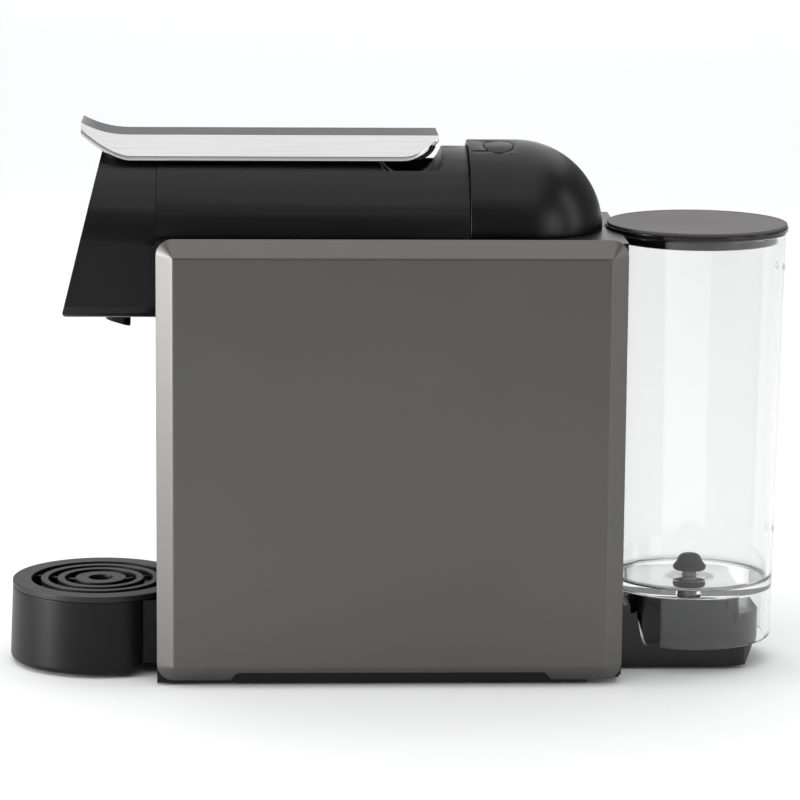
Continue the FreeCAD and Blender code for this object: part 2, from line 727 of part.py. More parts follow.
def brew_chamber():
    """Cup that carries the capsule, with side runners and lugs for the front links."""
    cup = rod_y(chamber_radius, chamber_front, chamber_rear, 0, brew_z)
    capsule = Part.makeCone(capsule_radius, capsule_radius - 4, capsule_depth,
                            Vector(0, chamber_front - 0.01, brew_z), Vector(0, 1, 0))
    runner = box(chamber_radius - 3, plate_outer - 0.4, chamber_front + 6, chamber_rear,
                 brew_z - rail_half_height, brew_z + rail_half_height)
    lug = box(lug_x[0], lug_x[1], chamber_rear - 1, lug_y, brew_z - 4, brew_z + 4)
    lug = lug.fuse(rod_x(4, lug_x[0], lug_x[1], lug_y, brew_z))
    inlet = rod_y(2.15, chamber_rear, chamber_rear + 6, 0, brew_z)
    shape = joined(cup, runner, mirrored(runner), lug, mirrored(lug), inlet).cut(capsule)
    relief = box(front_link_x[0] - fit_gap, front_link_x[1] + fit_gap, chamber_rear - 8, chamber_rear + 1,
                 brew_z - 6, brew_z + 9)
    shape = shape.cut(relief).cut(mirrored(relief))
    return shape.cut(rod_y(1.0, chamber_front + capsule_depth - 1, chamber_rear + 7, 0, brew_z))


def piercing_blades():
    """Three pointed blades at the bottom of the capsule cup."""
    made = []
    bottom = chamber_front + capsule_depth - 0.01
    for turn in range(3):
        angle = math.radians(120 * turn + 90)
        centre = Vector(8 * math.cos(angle), bottom - 5, brew_z + 8 * math.sin(angle))
        made.append(Part.makeCone(0.2, 1.4, 5, centre, Vector(0, 1, 0)))
    return made


def capsule_guide():
    """Short chute under the cowl slot that drops the capsule between cup and plate."""
    half = capsule_slot_half + 2
    y0, y1 = capsule_slot
    z0 = plate_z[1]
    top = z0 + 15.5
    chute = wide(capsule_slot_half + 0.5, y0 + 1.5, y1 - 1.5, z0 - 1, top + 1)
    shape = wide(half, y0, y1, z0, top).cut(chute)
    flange = box(half - 0.5, plate_outer, y0 + 1, y1 - 8, z0, z0 + 1.6)
    return joined(shape, flange, mirrored(flange))


# ---- capsule drawer and drip cup ------------------------------------------------------
hook_x = (12.0, 18.0)
hook_z = (24.0, 28.0)


def drawer_front():
    """Front door of the drawer with the neck that the drip cup hangs on."""
    plate = wide(frame_half - frame_wall - fit_gap, drawer_front_y, drawer_plate_rear,
                 drawer_front_bottom, drawer_front_bottom + drawer_front_height)
    neck = wide(neck_half_width, neck_front, drawer_front_y, drawer_front_bottom,
                drawer_front_bottom + neck_height)
    shape = joined(plate, neck)
    pocket = box(hook_x[0] - slide_gap, hook_x[1] + slide_gap, neck_front - 1, neck_front + 4.2,
                 hook_z[0] - slide_gap, hook_z[1] + slide_gap)
    return shape.cut(pocket).cut(mirrored(pocket))


def capsule_container():
    shape = wide(drawer_half_width, drawer_plate_rear, drawer_rear, drawer_bottom, drawer_top)
    hollow = wide(drawer_half_width - drawer_wall, drawer_plate_rear + drawer_wall,
                  drawer_rear - drawer_wall, drawer_bottom + drawer_wall, drawer_top + 1)
    return shape.cut(hollow)


def cup_solid(top, bottom, radius_top, radius_bottom, back):
    body = cone_z(radius_bottom, radius_top, bottom, top, 0, cup_y)
    return body.cut(wide(60, back, back + 60, bottom - 5, top + 5))


def drip_cup():
    outer = cup_solid(cup_top, cup_bottom, cup_radius_top, cup_radius_bottom, cup_back)
    rim = [e for e in outer.Edges if e.BoundBox.ZMax < cup_bottom + 0.01 and e.BoundBox.YLength > 20]
    outer = outer.makeFillet(2.0, rim)
    heel = side_profile([(cup_back - 5.5, cup_bottom - 1), (cup_back + 1, cup_bottom - 1),
                         (cup_back + 1, cup_bottom + 10)], -60, 60)
    outer = outer.cut(heel)
    inner = cup_solid(cup_top + 1, cup_bottom + cup_wall, cup_radius_top - cup_wall,
                      cup_radius_bottom - cup_wall - 1, cup_back - cup_wall - 3)
    hook = box(hook_x[0], hook_x[1], cup_back - 1, cup_back + 4, *hook_z)
    return joined(outer.cut(inner), hook, mirrored(hook))


def drip_grille():
    """Lid of four concentric rings carried by ribs under them."""
    top = cup_top + grille_thickness
    shape = None
    for outer, inner in grille_ring_edges:
        ring = rod_z(outer, cup_top, top, 0, cup_y).cut(rod_z(inner, cup_top - 1, top + 1, 0, cup_y))
        shape = ring if shape is None else shape.fuse(ring)
    inner_radius = grille_ring_edges[-1][1]
    outer_radius = grille_ring_edges[0][1] + 1
    for turn in range(grille_rib_count):
        rib = box(inner_radius + 1, outer_radius, cup_y - 1, cup_y + 1, cup_top, top - 1.0)
        rib.rotate(Vector(0, cup_y, 0), Vector(0, 0, 1), 360 / grille_rib_count * (turn + 0.5))
        shape = shape.fuse(rib)
    edge = body_front - fit_gap
    shape = shape.cut(wide(60, edge, edge + 60, cup_top - 1, top + 1))
    locator = rod_z(cup_radius_top - cup_wall - 0.5, cup_top - 2.5, cup_top, 0, cup_y)
    locator = locator.cut(rod_z(cup_radius_top - cup_wall - 2, cup_top - 3, cup_top + 1, 0, cup_y))
    locator = locator.cut(wide(60, cup_back - cup_wall - 3.5, edge + 60, cup_top - 4, top + 1))
    return joined(shape, locator)


# ---- tank, lid, valve and tank base ---------------------------------------------------
base_half = 24.0
base_neck_half = 24.0
base_neck_top = 28.0
base_low_top = 24.6
base_rear_y = tank_y + 27.5
seat_rear_y = tank_y + 19.0
base_underside = base_bottom + 0.5
pocket_radius = spigot_radius + 0.6
pocket_floor = tank_floor_bottom - spigot_drop - 1.2
channel_z = base_top + 10.0
nipple_front = rear_wall_front - 9.0


def tank_radius(z):
    """Outer radius of the slightly tapered tank at a height."""
    share = (z - tank_bottom) / tank_height
    return tank_radius_bottom + share * (tank_radius_top - tank_radius_bottom)


def water_tank():
    shape = cone_z(tank_radius_bottom, tank_radius_top, tank_bottom, tank_top, 0, tank_y)
    water = cone_z(tank_radius(tank_floor_top) - tank_wall, tank_radius_top - tank_wall,
                   tank_floor_top, tank_top + 0.01, 0, tank_y)
    skirt = cone_z(tank_radius_bottom - tank_wall, tank_radius(tank_floor_bottom) - tank_wall,
                   tank_bottom - 0.01, tank_floor_bottom, 0, tank_y)
    shape = shape.cut(water).cut(skirt)
    notch = wide(base_half + 1, tank_y - 60, tank_y - 20, tank_bottom - 1, tank_floor_bottom)
    shape = shape.cut(notch)
    spigot = rod_z(spigot_radius, tank_floor_bottom - spigot_drop, tank_floor_bottom, 0, tank_y)
    spigot = spigot.cut(rod_z(spigot_bore, 0, tank_floor_bottom, 0, tank_y))
    hole = rod_z(valve_stem_radius + shaft_gap + 0.02, tank_floor_bottom - 1, tank_floor_top + 1, 0, tank_y)
    return shape.fuse(spigot).removeSplitter().cut(hole)


valve_seat = tank_floor_top + valve_lift
flange_top_z = tank_floor_bottom - 0.4
flange_bottom_z = flange_top_z - 2.3


def valve_stem():
    stem = rod_z(valve_stem_radius, flange_top_z, valve_seat, 0, tank_y)
    return joined(stem, rod_z(valve_flange_radius, flange_bottom_z, flange_top_z, 0, tank_y))


def valve_cap():
    low = rod_z(valve_cap_radius, valve_seat, valve_seat + 3.4, 0, tank_y)
    high = cone_z(valve_cap_radius, valve_cap_radius - 2.6, valve_seat + 3.4, valve_seat + 6.8, 0, tank_y)
    return joined(low, high)


def tank_lid():
    top = tank_top + fit_gap + lid_thickness
    cap = rod_z(lid_radius - 0.5, top - 1.2, top, 0, tank_y)
    return cap.makeChamfer(0.3, [e for e in cap.Edges if e.BoundBox.ZMin > top - 0.01])


def tank_lid_rim():
    low = tank_top + fit_gap
    top = low + lid_thickness - 1.2
    rim = rod_z(lid_radius, low, top, 0, tank_y)
    plug = rod_z(plug_radius, low - plug_depth, low, 0, tank_y)
    hollow = rod_z(plug_radius - 1.8, low - plug_depth - 1, low, 0, tank_y)
    return joined(rim, plug).cut(hollow)


def tank_base():
    """Block under the tank: plinth, seat, valve socket and the water channel to the body."""
    lower = wide(base_half, rear_wall_rear, base_rear_y, base_underside, base_low_top)
    corners = [e for e in lower.Edges
               if e.BoundBox.ZLength > 5 and e.BoundBox.YMin > base_rear_y - 0.1]
    lower = lower.makeFillet(13.0, corners)
    heel = side_profile([(base_rear_y - 5.5, base_underside - 0.01), (base_rear_y + 1, base_underside - 0.01),
                         (base_rear_y + 1, base_underside + 14.8)], -60, 60)
    lower = lower.cut(heel)
    seat = wide(base_half, tank_y - 27, seat_rear_y, base_low_top - 1, tank_floor_bottom)
    corners = [e for e in seat.Edges if e.BoundBox.ZLength > 5]
    seat = seat.makeFillet(7.0, corners)
    neck = wide(base_neck_half, rear_wall_front - 2, rear_wall_rear + 6, base_top, base_neck_top)
    neck = neck.cut(cone_z(tank_radius_bottom + 1, tank_radius_top + 1, tank_bottom - 2,
                           tank_top, 0, tank_y).cut(wide(base_half + 0.5, tank_y - 60, tank_y, 0, 99)))
    shape = joined(lower, seat, neck)
    shape = shape.cut(rod_z(pocket_radius, pocket_floor, tank_floor_bottom + 1, 0, tank_y))
    nipple = rod_y(hose_inner - 0.05, nipple_front, rear_wall_front, 0, channel_z)
    pin = rod_z(2.2, pocket_floor - 1, flange_bottom_z, 0, tank_y)
    shape = joined(shape, nipple, pin)
    drain_y = tank_y - 6.0
    shape = shape.cut(rod_z(1.5, channel_z, pocket_floor + 1, 0, drain_y))
    shape = shape.cut(rod_y(1.3, nipple_front - 1, drain_y + 1.5, 0, channel_z))
    return shape.cut(seal_ring())


def seal_ring():
    return Part.makeTorus(pocket_radius + 0.5, 0.9, Vector(0, tank_y, tank_floor_bottom - 3.4))


# ---- water system inside the body ---------------------------------------------------
meter_x = -20.0
meter_y = rear_wall_front - 14.0
meter_radius = 12.0
meter_top = base_top + 14.0
pump_z = base_top + 31.0
pump_half_length = 18.0
pump_y = mid_y
pump_rear = pump_y + pump_half_length + 8.0
pump_front = pump_y - pump_half_length - 8.0
plunger_length = 24.0
leg_x = 26.0
leg_thickness = 2.0
block_half = 24.0
block_y = (mid_y - 27.0, mid_y + 27.0)
block_height = 36.0
block_low = (pump_z + 20.0 + plate_z[0] - block_height) / 2 - 4.5
block_z = (block_low, block_low + block_height)
riser_y = drawer_rear + 5.0
barb = hose_inner - 0.05


def flow_meter_body():
    shape = rod_z(meter_radius, base_top, meter_top, meter_x, meter_y)
    shape = shape.cut(rod_z(meter_radius - 2.4, base_top + 4, meter_top + 1, meter_x, meter_y))
    shape = shape.fuse(rod_z(0.9, base_top + 3, meter_top, meter_x, meter_y))
    port = rod_x(barb, meter_x + meter_radius - 1.2, meter_x + meter_radius + 1.8, meter_y, channel_z)
    shape = shape.fuse(port)
    bore = rod_x(water_bore, meter_x + meter_radius - 4, meter_x + meter_radius + 2, meter_y, channel_z)
    return shape.cut(bore).removeSplitter()


def flow_meter_rotor():
    low, high = base_top + 4.3, meter_top - 0.3
    shape = rod_z(2.6, low, high, meter_x, meter_y)
    for turn in range(6):
        blade = box(meter_x + 2, meter_x + 8.8, meter_y - 0.5, meter_y + 0.5, low, high)
        blade.rotate(Vector(meter_x, meter_y, 0), Vector(0, 0, 1), 60 * turn)
        shape = shape.fuse(blade)
    return shape.cut(rod_z(0.9 + shaft_gap, 0, 99, meter_x, meter_y)).removeSplitter()


def flow_meter_cover():
    shape = rod_z(meter_radius, meter_top, meter_top + 3, meter_x, meter_y)
    shape = shape.fuse(rod_z(barb, meter_top + 3, meter_top + 9, meter_x, meter_y))
    bore = rod_z(water_bore, meter_top - 1, meter_top + 10, meter_x, meter_y)
    return shape.cut(bore).removeSplitter()


def pump_coil():
    shape = wide(19, pump_y - pump_half_length, pump_y + pump_half_length, pump_z - 20, pump_z + 20)
    upright = [e for e in shape.Edges if e.BoundBox.YLength > 30]
    shape = shape.makeFillet(4, upright)
    return shape.cut(rod_y(pump_radius, pump_front - 1, pump_rear + 1, 0, pump_z))


def pump_core():
    shape = joined(rod_y(pump_radius, pump_front, pump_rear, 0, pump_z),
                   rod_y(4, pump_rear, pump_rear + 5, 0, pump_z),
                   rod_y(barb, pump_rear + 5, pump_rear + 11, 0, pump_z))
    shape = shape.cut(rod_y(pump_bore, pump_y - plunger_length / 2 - 5, pump_y + plunger_length / 2 + 5,
                            0, pump_z))
    return shape.cut(rod_y(water_bore, pump_front - 1, pump_rear + 12, 0, pump_z))


def pump_outlet():
    points = [(7 * math.cos(math.radians(60 * n)), pump_z + 7 * math.sin(math.radians(60 * n)))
              for n in range(6)]
    nut = front_profile(points, pump_front - 4, pump_front)
    shape = joined(nut, rod_y(barb, pump_front - 9, pump_front - 4, 0, pump_z))
    return shape.cut(rod_y(water_bore, pump_front - 10, pump_front + 1, 0, pump_z))


def pump_plunger():
    shape = rod_y(pump_bore - shaft_gap, pump_y - plunger_length / 2, pump_y + plunger_length / 2, 0, pump_z)
    return shape.cut(rod_y(water_bore, pump_y - 20, pump_y + 20, 0, pump_z))


def pump_mounts():
    return [rod_z(5.5, base_top, pump_z - 20, x, pump_y + y) for x in (-12, 12) for y in (-11, 11)]


def thermoblock():
    shape = wide(block_half, block_y[0], block_y[1], *block_z)
    upright = [e for e in shape.Edges if e.BoundBox.ZLength > 30]
    shape = shape.makeFillet(5, upright)
    lug = box(block_half - 1, leg_x, mid_y - 12, mid_y + 12, block_z[0] + 12, block_z[0] + 22)
    shape = joined(shape, lug, mirrored(lug))
    for x, z in ((0, block_z[0] + 10), (-10, block_z[1] - 10)):
        shape = shape.fuse(rod_y(barb, block_y[0] - 6, block_y[0] + 1, x, z))
        shape = shape.cut(rod_y(water_bore, block_y[0] - 7, block_y[0] + 20, x, z))
    for x in (8, 16):
        shape = shape.fuse(rod_y(3, block_y[1] - 1, block_y[1] + 6, x, block_z[0] + 18))
    return shape.removeSplitter()


def thermostats():
    made = []
    for y in (mid_y - 10, mid_y + 12):
        can = rod_z(7.5, block_z[1], block_z[1] + 6, 0, y)
        tabs = [box(x - 2.5, x + 2.5, y - 0.4, y + 0.4, block_z[1] + 5.5, block_z[1] + 12) for x in (-4, 4)]
        made.append(joined(can, *tabs))
    return made


standoff_ys = (mid_y - 16, mid_y + 16)
standoff_zs = (block_z[0] - 10, block_z[1] - 10)
board_x = frame_half - 6.0


def thermoblock_bracket():
    """Two sheet legs from the base to the heater, and the pillars of the main board."""
    leg = box(leg_x, leg_x + leg_thickness, mid_y - 20, mid_y + 20, base_top, block_z[1])
    window = box(leg_x - 1, leg_x + 3, mid_y - 12, mid_y + 12, base_top + 8, block_z[0] - 16)
    leg = leg.cut(window)
    foot = box(leg_x, leg_x + 8, mid_y - 20, mid_y + 20, base_top, base_top + leg_thickness)
    leg = joined(leg, foot)
    pillars = [rod_x(2.5, leg_x + leg_thickness - 0.5, board_x, y, z)
               for y in standoff_ys for z in standoff_zs]
    return [joined(leg, *pillars), mirrored(leg)]


def main_board():
    shape = box(board_x, board_x + board_thickness, mid_y - 46, rear_wall_front - 3,
                base_top + 24, block_z[1] + 6)
    for y in standoff_ys:
        for z in standoff_zs:
            shape = shape.cut(rod_x(1.2, board_x - 1, board_x + 3, y, z))
    return shape


def board_components():
    """Relay, capacitors, heat sink, transformer and connector on the inner face of the board."""
    low = base_top + 30
    reach = board_x - leg_x - leg_thickness
    relay = box(board_x - reach * 0.7, board_x, mid_y - 42, mid_y - 26, low, low + 20)
    sink = box(board_x - reach * 0.6, board_x, mid_y - 42, mid_y - 38, low + 30, low + 56)
    coil = box(board_x - reach * 0.8, board_x, mid_y + 26, mid_y + 38, low + 2, low + 18)
    plug = box(board_x - reach * 0.5, board_x, mid_y + 24, mid_y + 38, low + 28, low + 36)
    cans = [rod_x(4, board_x - reach * 0.8, board_x, mid_y - 30, low + 32 + 12 * n) for n in range(3)]
    chips = [box(board_x - 2, board_x, mid_y + 26, mid_y + 34, low + 44 + 10 * n, low + 50 + 10 * n)
             for n in range(2)]
    return [relay, sink, coil, plug] + cans + chips


wire_radius = 2.3
wire_z = base_top + 62.0
wire_y = rear_wall_front - 5.0


def mains_cable():
    """Sheathed conductors from the cable gland along the rear wall to the board connector."""
    end_x = board_x - (board_x - leg_x - leg_thickness) * 0.5
    return hose([(gland_x, rear_wall_rear, gland_z), (gland_x, wire_y, gland_z), (gland_x, wire_y, wire_z),
                 (end_x, wire_y, wire_z), (end_x, mid_y + 38, wire_z)], 5, wire_radius, 1.0)


# ---- user buttons -----------------------------------------------------------------
switch_top = board_bottom + board_thickness + 4.0
stem_radius = 2.0


def button(x):
    """Round key whose top follows the dome, with a stem that reaches its switch."""
    key = rod_z(button_radius, dome_axis_z + 26, dome_axis_z + 60, x, button_y)
    key = key.common(dome_solid(dome_radius, dome_front, dome_axis_z))
    stem = rod_z(stem_radius, switch_top - 2.2, dome_axis_z + 27, x, button_y)
    return joined(key, stem)


def button_board():
    """Board with four legs that stand on the deck."""
    board = wide(board_leg_x + 4, dome_front + 2.6, dome_front + 27.6, board_bottom,
                 board_bottom + board_thickness)
    legs = [rod_z(board_leg_radius, deck_top, board_bottom, x, y)
            for x in (-board_leg_x, board_leg_x) for y in board_leg_ys]
    return joined(board, *legs)


def button_switches():
    made = []
    for x in (-button_x, button_x):
        switch = rod_z(3.6, board_bottom + board_thickness, switch_top, x, button_y)
        made.append(switch.cut(rod_z(stem_radius + 0.25, board_bottom + board_thickness + 0.4,
                                     switch_top + 1, x, button_y)))
    return made


# ---- hoses -----------------------------------------------------------------------
def inlet_hose():
    return hose([(0, rear_wall_front - 2.5, channel_z), (0, meter_y, channel_z),
                 (meter_x + meter_radius + 0.6, meter_y, channel_z)], 6)


def suction_hose():
    return hose([(meter_x, meter_y, meter_top + 3.6), (meter_x, meter_y, pump_z),
                 (0, meter_y, pump_z), (0, pump_rear + 5.4, pump_z)], 5)


def pressure_hose():
    z = block_z[0] + 10
    return hose([(0, pump_front - 4.4, pump_z), (0, riser_y, pump_z), (0, riser_y, z),
                 (0, block_y[0] - 0.4, z)], 4)


elbow_y = hinge[0] - 9.0
elbow_x = -26.0


def hot_water_elbow():
    shape = box(-brew_plate_x, elbow_x + 4, elbow_y - 4, elbow_y + 4, plate_z[0], plate_z[0] + 8)
    shape = shape.fuse(rod_z(barb, plate_z[0] - 6, plate_z[0] + 1, elbow_x, elbow_y))
    return shape.cut(rod_z(water_bore, plate_z[0] - 7, plate_z[0] + 4, elbow_x, elbow_y)).removeSplitter()


def hot_water_hose():
    z = block_z[1] - 10
    high = plate_z[0] - 15
    return hose([(-10, block_y[0] - 0.4, z), (-10, riser_y, z), (-10, riser_y, high),
                 (elbow_x, riser_y, high), (elbow_x, elbow_y, high), (elbow_x, elbow_y, plate_z[0] - 0.4)], 4)


# ---- every node ------------------------------------------------------------------
NODES = {
    "base_plate": base_plate(),
    "rubber_feet": group(feet()),
    "frame_screws": group(screws() + brew_frame_screws()),
    "front_frame": front_frame(),
    "rear_frame": rear_frame(),
    "cable_gland": cable_gland(),
    "top_deck": top_deck(),
    "panel_clips": group(panel_clips()),
    "side_panel_right": side_panel(),
    "side_panel_left": mirrored(side_panel()),
    "top_cowl": top_cowl(),
    "rear_dome": rear_dome(),
    "head_cover": head_cover(),
    "lever": lever(),
    "lever_core": lever_core(),
    "lever_pins": group(lever_pins()),
    "pull_link": pull_link(),
    "rear_links": rear_links(),
    "front_links": group(front_links()),
    "brew_frame_right": brew_frame(),
    "brew_frame_left": mirrored(brew_frame()),
    "frame_pins": group(frame_pins()),
    "extraction_plate": extraction_plate(),
    "extraction_seal": extraction_seal(),
    "brew_duct": brew_duct(),
    "coffee_outlet": coffee_outlet(),
    "brew_chamber": brew_chamber(),
    "piercing_blades": group(piercing_blades()),
    "capsule_guide": capsule_guide(),
    "drawer_front": drawer_front(),
    "capsule_container": capsule_container(),
    "drip_cup": drip_cup(),
    "drip_grille": drip_grille(),
    "water_tank": water_tank(),
    "valve_stem": valve_stem(),
    "valve_cap": valve_cap(),
    "tank_lid": tank_lid(),
    "tank_lid_rim": tank_lid_rim(),
    "tank_base": tank_base(),
    "socket_seal": seal_ring(),
    "flow_meter_body": flow_meter_body(),
    "flow_meter_rotor": flow_meter_rotor(),
    "flow_meter_cover": flow_meter_cover(),
    "pump_coil": pump_coil(),
    "pump_core": pump_core(),
    "pump_outlet": pump_outlet(),
    "pump_plunger": pump_plunger(),
    "pump_mounts": group(pump_mounts()),
    "thermoblock": thermoblock(),
    "thermostats": group(thermostats()),
    "thermoblock_bracket": group(thermoblock_bracket()),
    "main_board": main_board(),
    "board_components": group(board_components()),
    "button_board": button_board(),
    "button_switches": group(button_switches()),
    "short_cup_button": button(-button_x),
    "long_cup_button": button(button_x),
    "water_hoses": group([inlet_hose(), suction_hose(), pressure_hose(), hot_water_hose()]),
    "hot_water_elbow": hot_water_elbow(),
    "mains_cable": mains_cable(),
}

for node_name, node_shape in NODES.items():
    save(node_name, node_shape)
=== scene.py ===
"""Slim pod coffee machine, finished for rendering. Lengths are in metres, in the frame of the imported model."""
import math
import bmesh
import bpy
import numpy as np
from mathutils import Matrix


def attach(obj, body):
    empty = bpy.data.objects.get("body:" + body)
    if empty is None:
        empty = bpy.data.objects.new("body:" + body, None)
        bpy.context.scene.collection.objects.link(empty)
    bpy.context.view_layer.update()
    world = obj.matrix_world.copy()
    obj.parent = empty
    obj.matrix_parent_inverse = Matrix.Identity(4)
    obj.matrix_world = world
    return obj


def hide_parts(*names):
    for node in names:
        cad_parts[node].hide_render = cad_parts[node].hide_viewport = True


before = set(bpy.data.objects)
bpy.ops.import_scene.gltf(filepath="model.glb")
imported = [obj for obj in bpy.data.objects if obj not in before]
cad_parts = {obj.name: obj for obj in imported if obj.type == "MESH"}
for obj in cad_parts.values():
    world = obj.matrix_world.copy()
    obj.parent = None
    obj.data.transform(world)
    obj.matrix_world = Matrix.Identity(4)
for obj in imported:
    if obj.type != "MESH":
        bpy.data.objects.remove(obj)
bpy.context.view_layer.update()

# ---- chassis: base, upright frames, deck, drawer and the guide inside --------------------
# Injection moulded black ABS with a fine spark-eroded texture; the parts are screwed
# or clipped together and show only in the gaps between the outer covers.


def shader_group(name, numbers, outputs):
    """Empty shader group: named number inputs with their defaults, and named number outputs."""
    tree = bpy.data.node_groups.new(name, "ShaderNodeTree")
    for label, default in numbers.items():
        socket = tree.interface.new_socket(label, in_out="INPUT", socket_type="NodeSocketFloat")
        socket.default_value = default
    for label in outputs:
        tree.interface.new_socket(label, in_out="OUTPUT", socket_type="NodeSocketFloat")
    return tree, tree.nodes.new("NodeGroupInput"), tree.nodes.new("NodeGroupOutput")


def arithmetic(tree, operation, first, second, limit=False):
    """One sum on two sockets or numbers."""
    node = tree.nodes.new("ShaderNodeMath")
    node.operation = operation
    node.use_clamp = limit
    for socket, value in zip(node.inputs, (first, second)):
        if isinstance(value, (int, float)):
            socket.default_value = value
        else:
            tree.links.new(value, socket)
    return node.outputs["Value"]


def stretched_noise(tree, scale, detail, stretch=(1.0, 1.0, 1.0)):
    """Cloud noise over the piece, drawn out along the axes where the stretch is below one."""
    place = tree.nodes.new("ShaderNodeTexCoord")
    mapping = tree.nodes.new("ShaderNodeMapping")
    mapping.inputs["Scale"].default_value = stretch
    noise = tree.nodes.new("ShaderNodeTexNoise")
    noise.inputs["Detail"].default_value = detail
    tree.links.new(place.outputs["Object"], mapping.inputs["Vector"])
    tree.links.new(mapping.outputs["Vector"], noise.inputs["Vector"])
    tree.links.new(scale, noise.inputs["Scale"])
    return noise.outputs["Fac"]


edge_start, edge_gain = 0.53, 9.0  # pointiness where the lighter edges begin, and how fast they grow; the lighter edges are painted highlight with a little wear
tone_share = 0.7  # of patches and grain in the tone; lighter edges, painted highlight with a little wear, come on top


def build_surface_group(name, grain_scale, patch_scale, patch_detail, grain_share, stretch=(1.0, 1.0, 1.0)):
    """Surface of a part: tone = patches and grain mixed by their shares + lighter edges (painted highlight with a
    little wear), height = grain.
    """
    tree, given, made = shader_group(
        name, {"Grain Scale": grain_scale, "Patch Scale": patch_scale, "Edge Highlight and Wear": 0.3}, ("Tone", "Height"))
    grain = stretched_noise(tree, given.outputs["Grain Scale"], 2.0, stretch)
    patches = stretched_noise(tree, given.outputs["Patch Scale"], patch_detail)
    geometry = tree.nodes.new("ShaderNodeNewGeometry")
    # Convex edges, found by pointiness, are lightened: painted highlight, with a little wear.
    edge = arithmetic(tree, "SUBTRACT", geometry.outputs["Pointiness"], edge_start)
    edge = arithmetic(tree, "MULTIPLY", edge, edge_gain, limit=True)
    edge = arithmetic(tree, "MULTIPLY", edge, given.outputs["Edge Highlight and Wear"])
    tone = arithmetic(tree, "ADD", arithmetic(tree, "MULTIPLY", patches, 1 - grain_share),
                      arithmetic(tree, "MULTIPLY", grain, grain_share))
    tone = arithmetic(tree, "ADD", arithmetic(tree, "MULTIPLY", tone, tone_share), edge, limit=True)
    tree.links.new(tone, made.inputs["Tone"])
    tree.links.new(grain, made.inputs["Height"])
    return tree


# Moulded, cast or plated parts have an even grain; brushed or drawn metal has scratches along Y.
made_surface = build_surface_group("made_surface", 1400.0, 30.0, 4.0, 0.3)
drawn_metal = build_surface_group("drawn_metal", 2500.0, 20.0, 3.0, 0.5, (1.0, 0.02, 1.0))


def surfaced(name, pattern, grain, patch, edge_highlight_and_wear, colours, roughness, depth, bump):
    """Material whose tone picks its colour and its roughness, each given as pairs of tone and value."""
    material = bpy.data.materials.new(name)
    material.use_nodes = True
    tree = material.node_tree
    shader = tree.nodes["Principled BSDF"]
    surface = tree.nodes.new("ShaderNodeGroup")
    surface.node_tree = pattern
    surface.inputs["Grain Scale"].default_value = grain
    surface.inputs["Patch Scale"].default_value = patch
    surface.inputs["Edge Highlight and Wear"].default_value = edge_highlight_and_wear
    ramp = tree.nodes.new("ShaderNodeValToRGB")
    stops = ramp.color_ramp.elements
    for place, (tone, colour) in enumerate(colours):
        stop = stops[place] if place < len(stops) else stops.new(tone)
        stop.position = tone
        stop.color = (*colour, 1.0)
    spread = tree.nodes.new("ShaderNodeMapRange")
    for end, (tone, rough) in zip(("Min", "Max"), roughness):
        spread.inputs["From " + end].default_value = tone
        spread.inputs["To " + end].default_value = rough
    relief = tree.nodes.new("ShaderNodeBump")
    relief.inputs["Distance"].default_value = depth
    relief.inputs["Strength"].default_value = bump
    tree.links.new(surface.outputs["Tone"], ramp.inputs["Fac"])
    tree.links.new(surface.outputs["Tone"], spread.inputs["Value"])
    tree.links.new(surface.outputs["Height"], relief.inputs["Height"])
    tree.links.new(ramp.outputs["Color"], shader.inputs["Base Color"])
    tree.links.new(spread.outputs["Result"], shader.inputs["Roughness"])
    tree.links.new(relief.outputs["Normal"], shader.inputs["Normal"])
    return material, shader


def finish(name, colours, roughness, pattern=made_surface, grain=1400.0, patch=30.0, edge_highlight_and_wear=0.3,
           depth=0.00002, bump=0.25, metallic=0.0, specular=0.5):
    """Opaque finish from its dark, plain and edge colours and its least and greatest roughness; the edge colour is
    painted highlight with a little wear.
    """
    material, shader = surfaced(name, pattern, grain, patch, edge_highlight_and_wear, zip((0.2, 0.5, 1.0), colours),
                                zip((0.2, 0.6), roughness), depth, bump)
    shader.inputs["Metallic"].default_value = metallic
    shader.inputs["Specular IOR Level"].default_value = specular
    return material


merge_distance = 0.00001
edge_angle = math.radians(32)


def dress(material, edge, *nodes):
    """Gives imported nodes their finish, with merged triangles and moulded edges of one radius."""
    for node in nodes:
        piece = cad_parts[node]
        piece.data.materials.clear()
        piece.data.materials.append(material)
        weld = piece.modifiers.new("merged", "WELD")
        weld.merge_threshold = merge_distance
        soft = piece.modifiers.new("soft_edges", "BEVEL")
        soft.width = edge
        soft.segments = 3
        soft.limit_method = "ANGLE"
        soft.angle_limit = edge_angle
        soft.harden_normals = True


satin_black = finish("satin_black", ((0.0026, 0.0024, 0.0024), (0.0036, 0.0033, 0.0033), (0.018, 0.017, 0.017)),
                     (0.33, 0.4), grain=1700.0, patch=26.0, edge_highlight_and_wear=0.12, specular=0.24)
dress(satin_black, 0.0003, "base_plate", "front_frame", "rear_frame", "top_deck", "capsule_guide", "lever_core",
      "drawer_front", "capsule_container", "coffee_outlet")

# ---- feet, cable gland, seals and pump mounts ----------------------------------------------
# Black rubber and thermoplastic elastomer, moulded with a dull open grain;
# the feet are glued into round pockets of the base.
rubber = finish("rubber", ((0.008, 0.008, 0.008), (0.014, 0.0135, 0.0135), (0.04, 0.038, 0.037)),
                (0.6, 0.8), grain=900.0, patch=60.0, edge_highlight_and_wear=0.3, bump=0.4)
dress(rubber, 0.0003, "rubber_feet", "cable_gland", "extraction_seal", "socket_seal", "pump_mounts")
cable_sheath = finish("cable_sheath", ((0.016, 0.016, 0.017), (0.024, 0.024, 0.025), (0.06, 0.06, 0.06)),
                      (0.45, 0.6), grain=1200.0, patch=80.0)
dress(cable_sheath, 0.0002, "mains_cable")

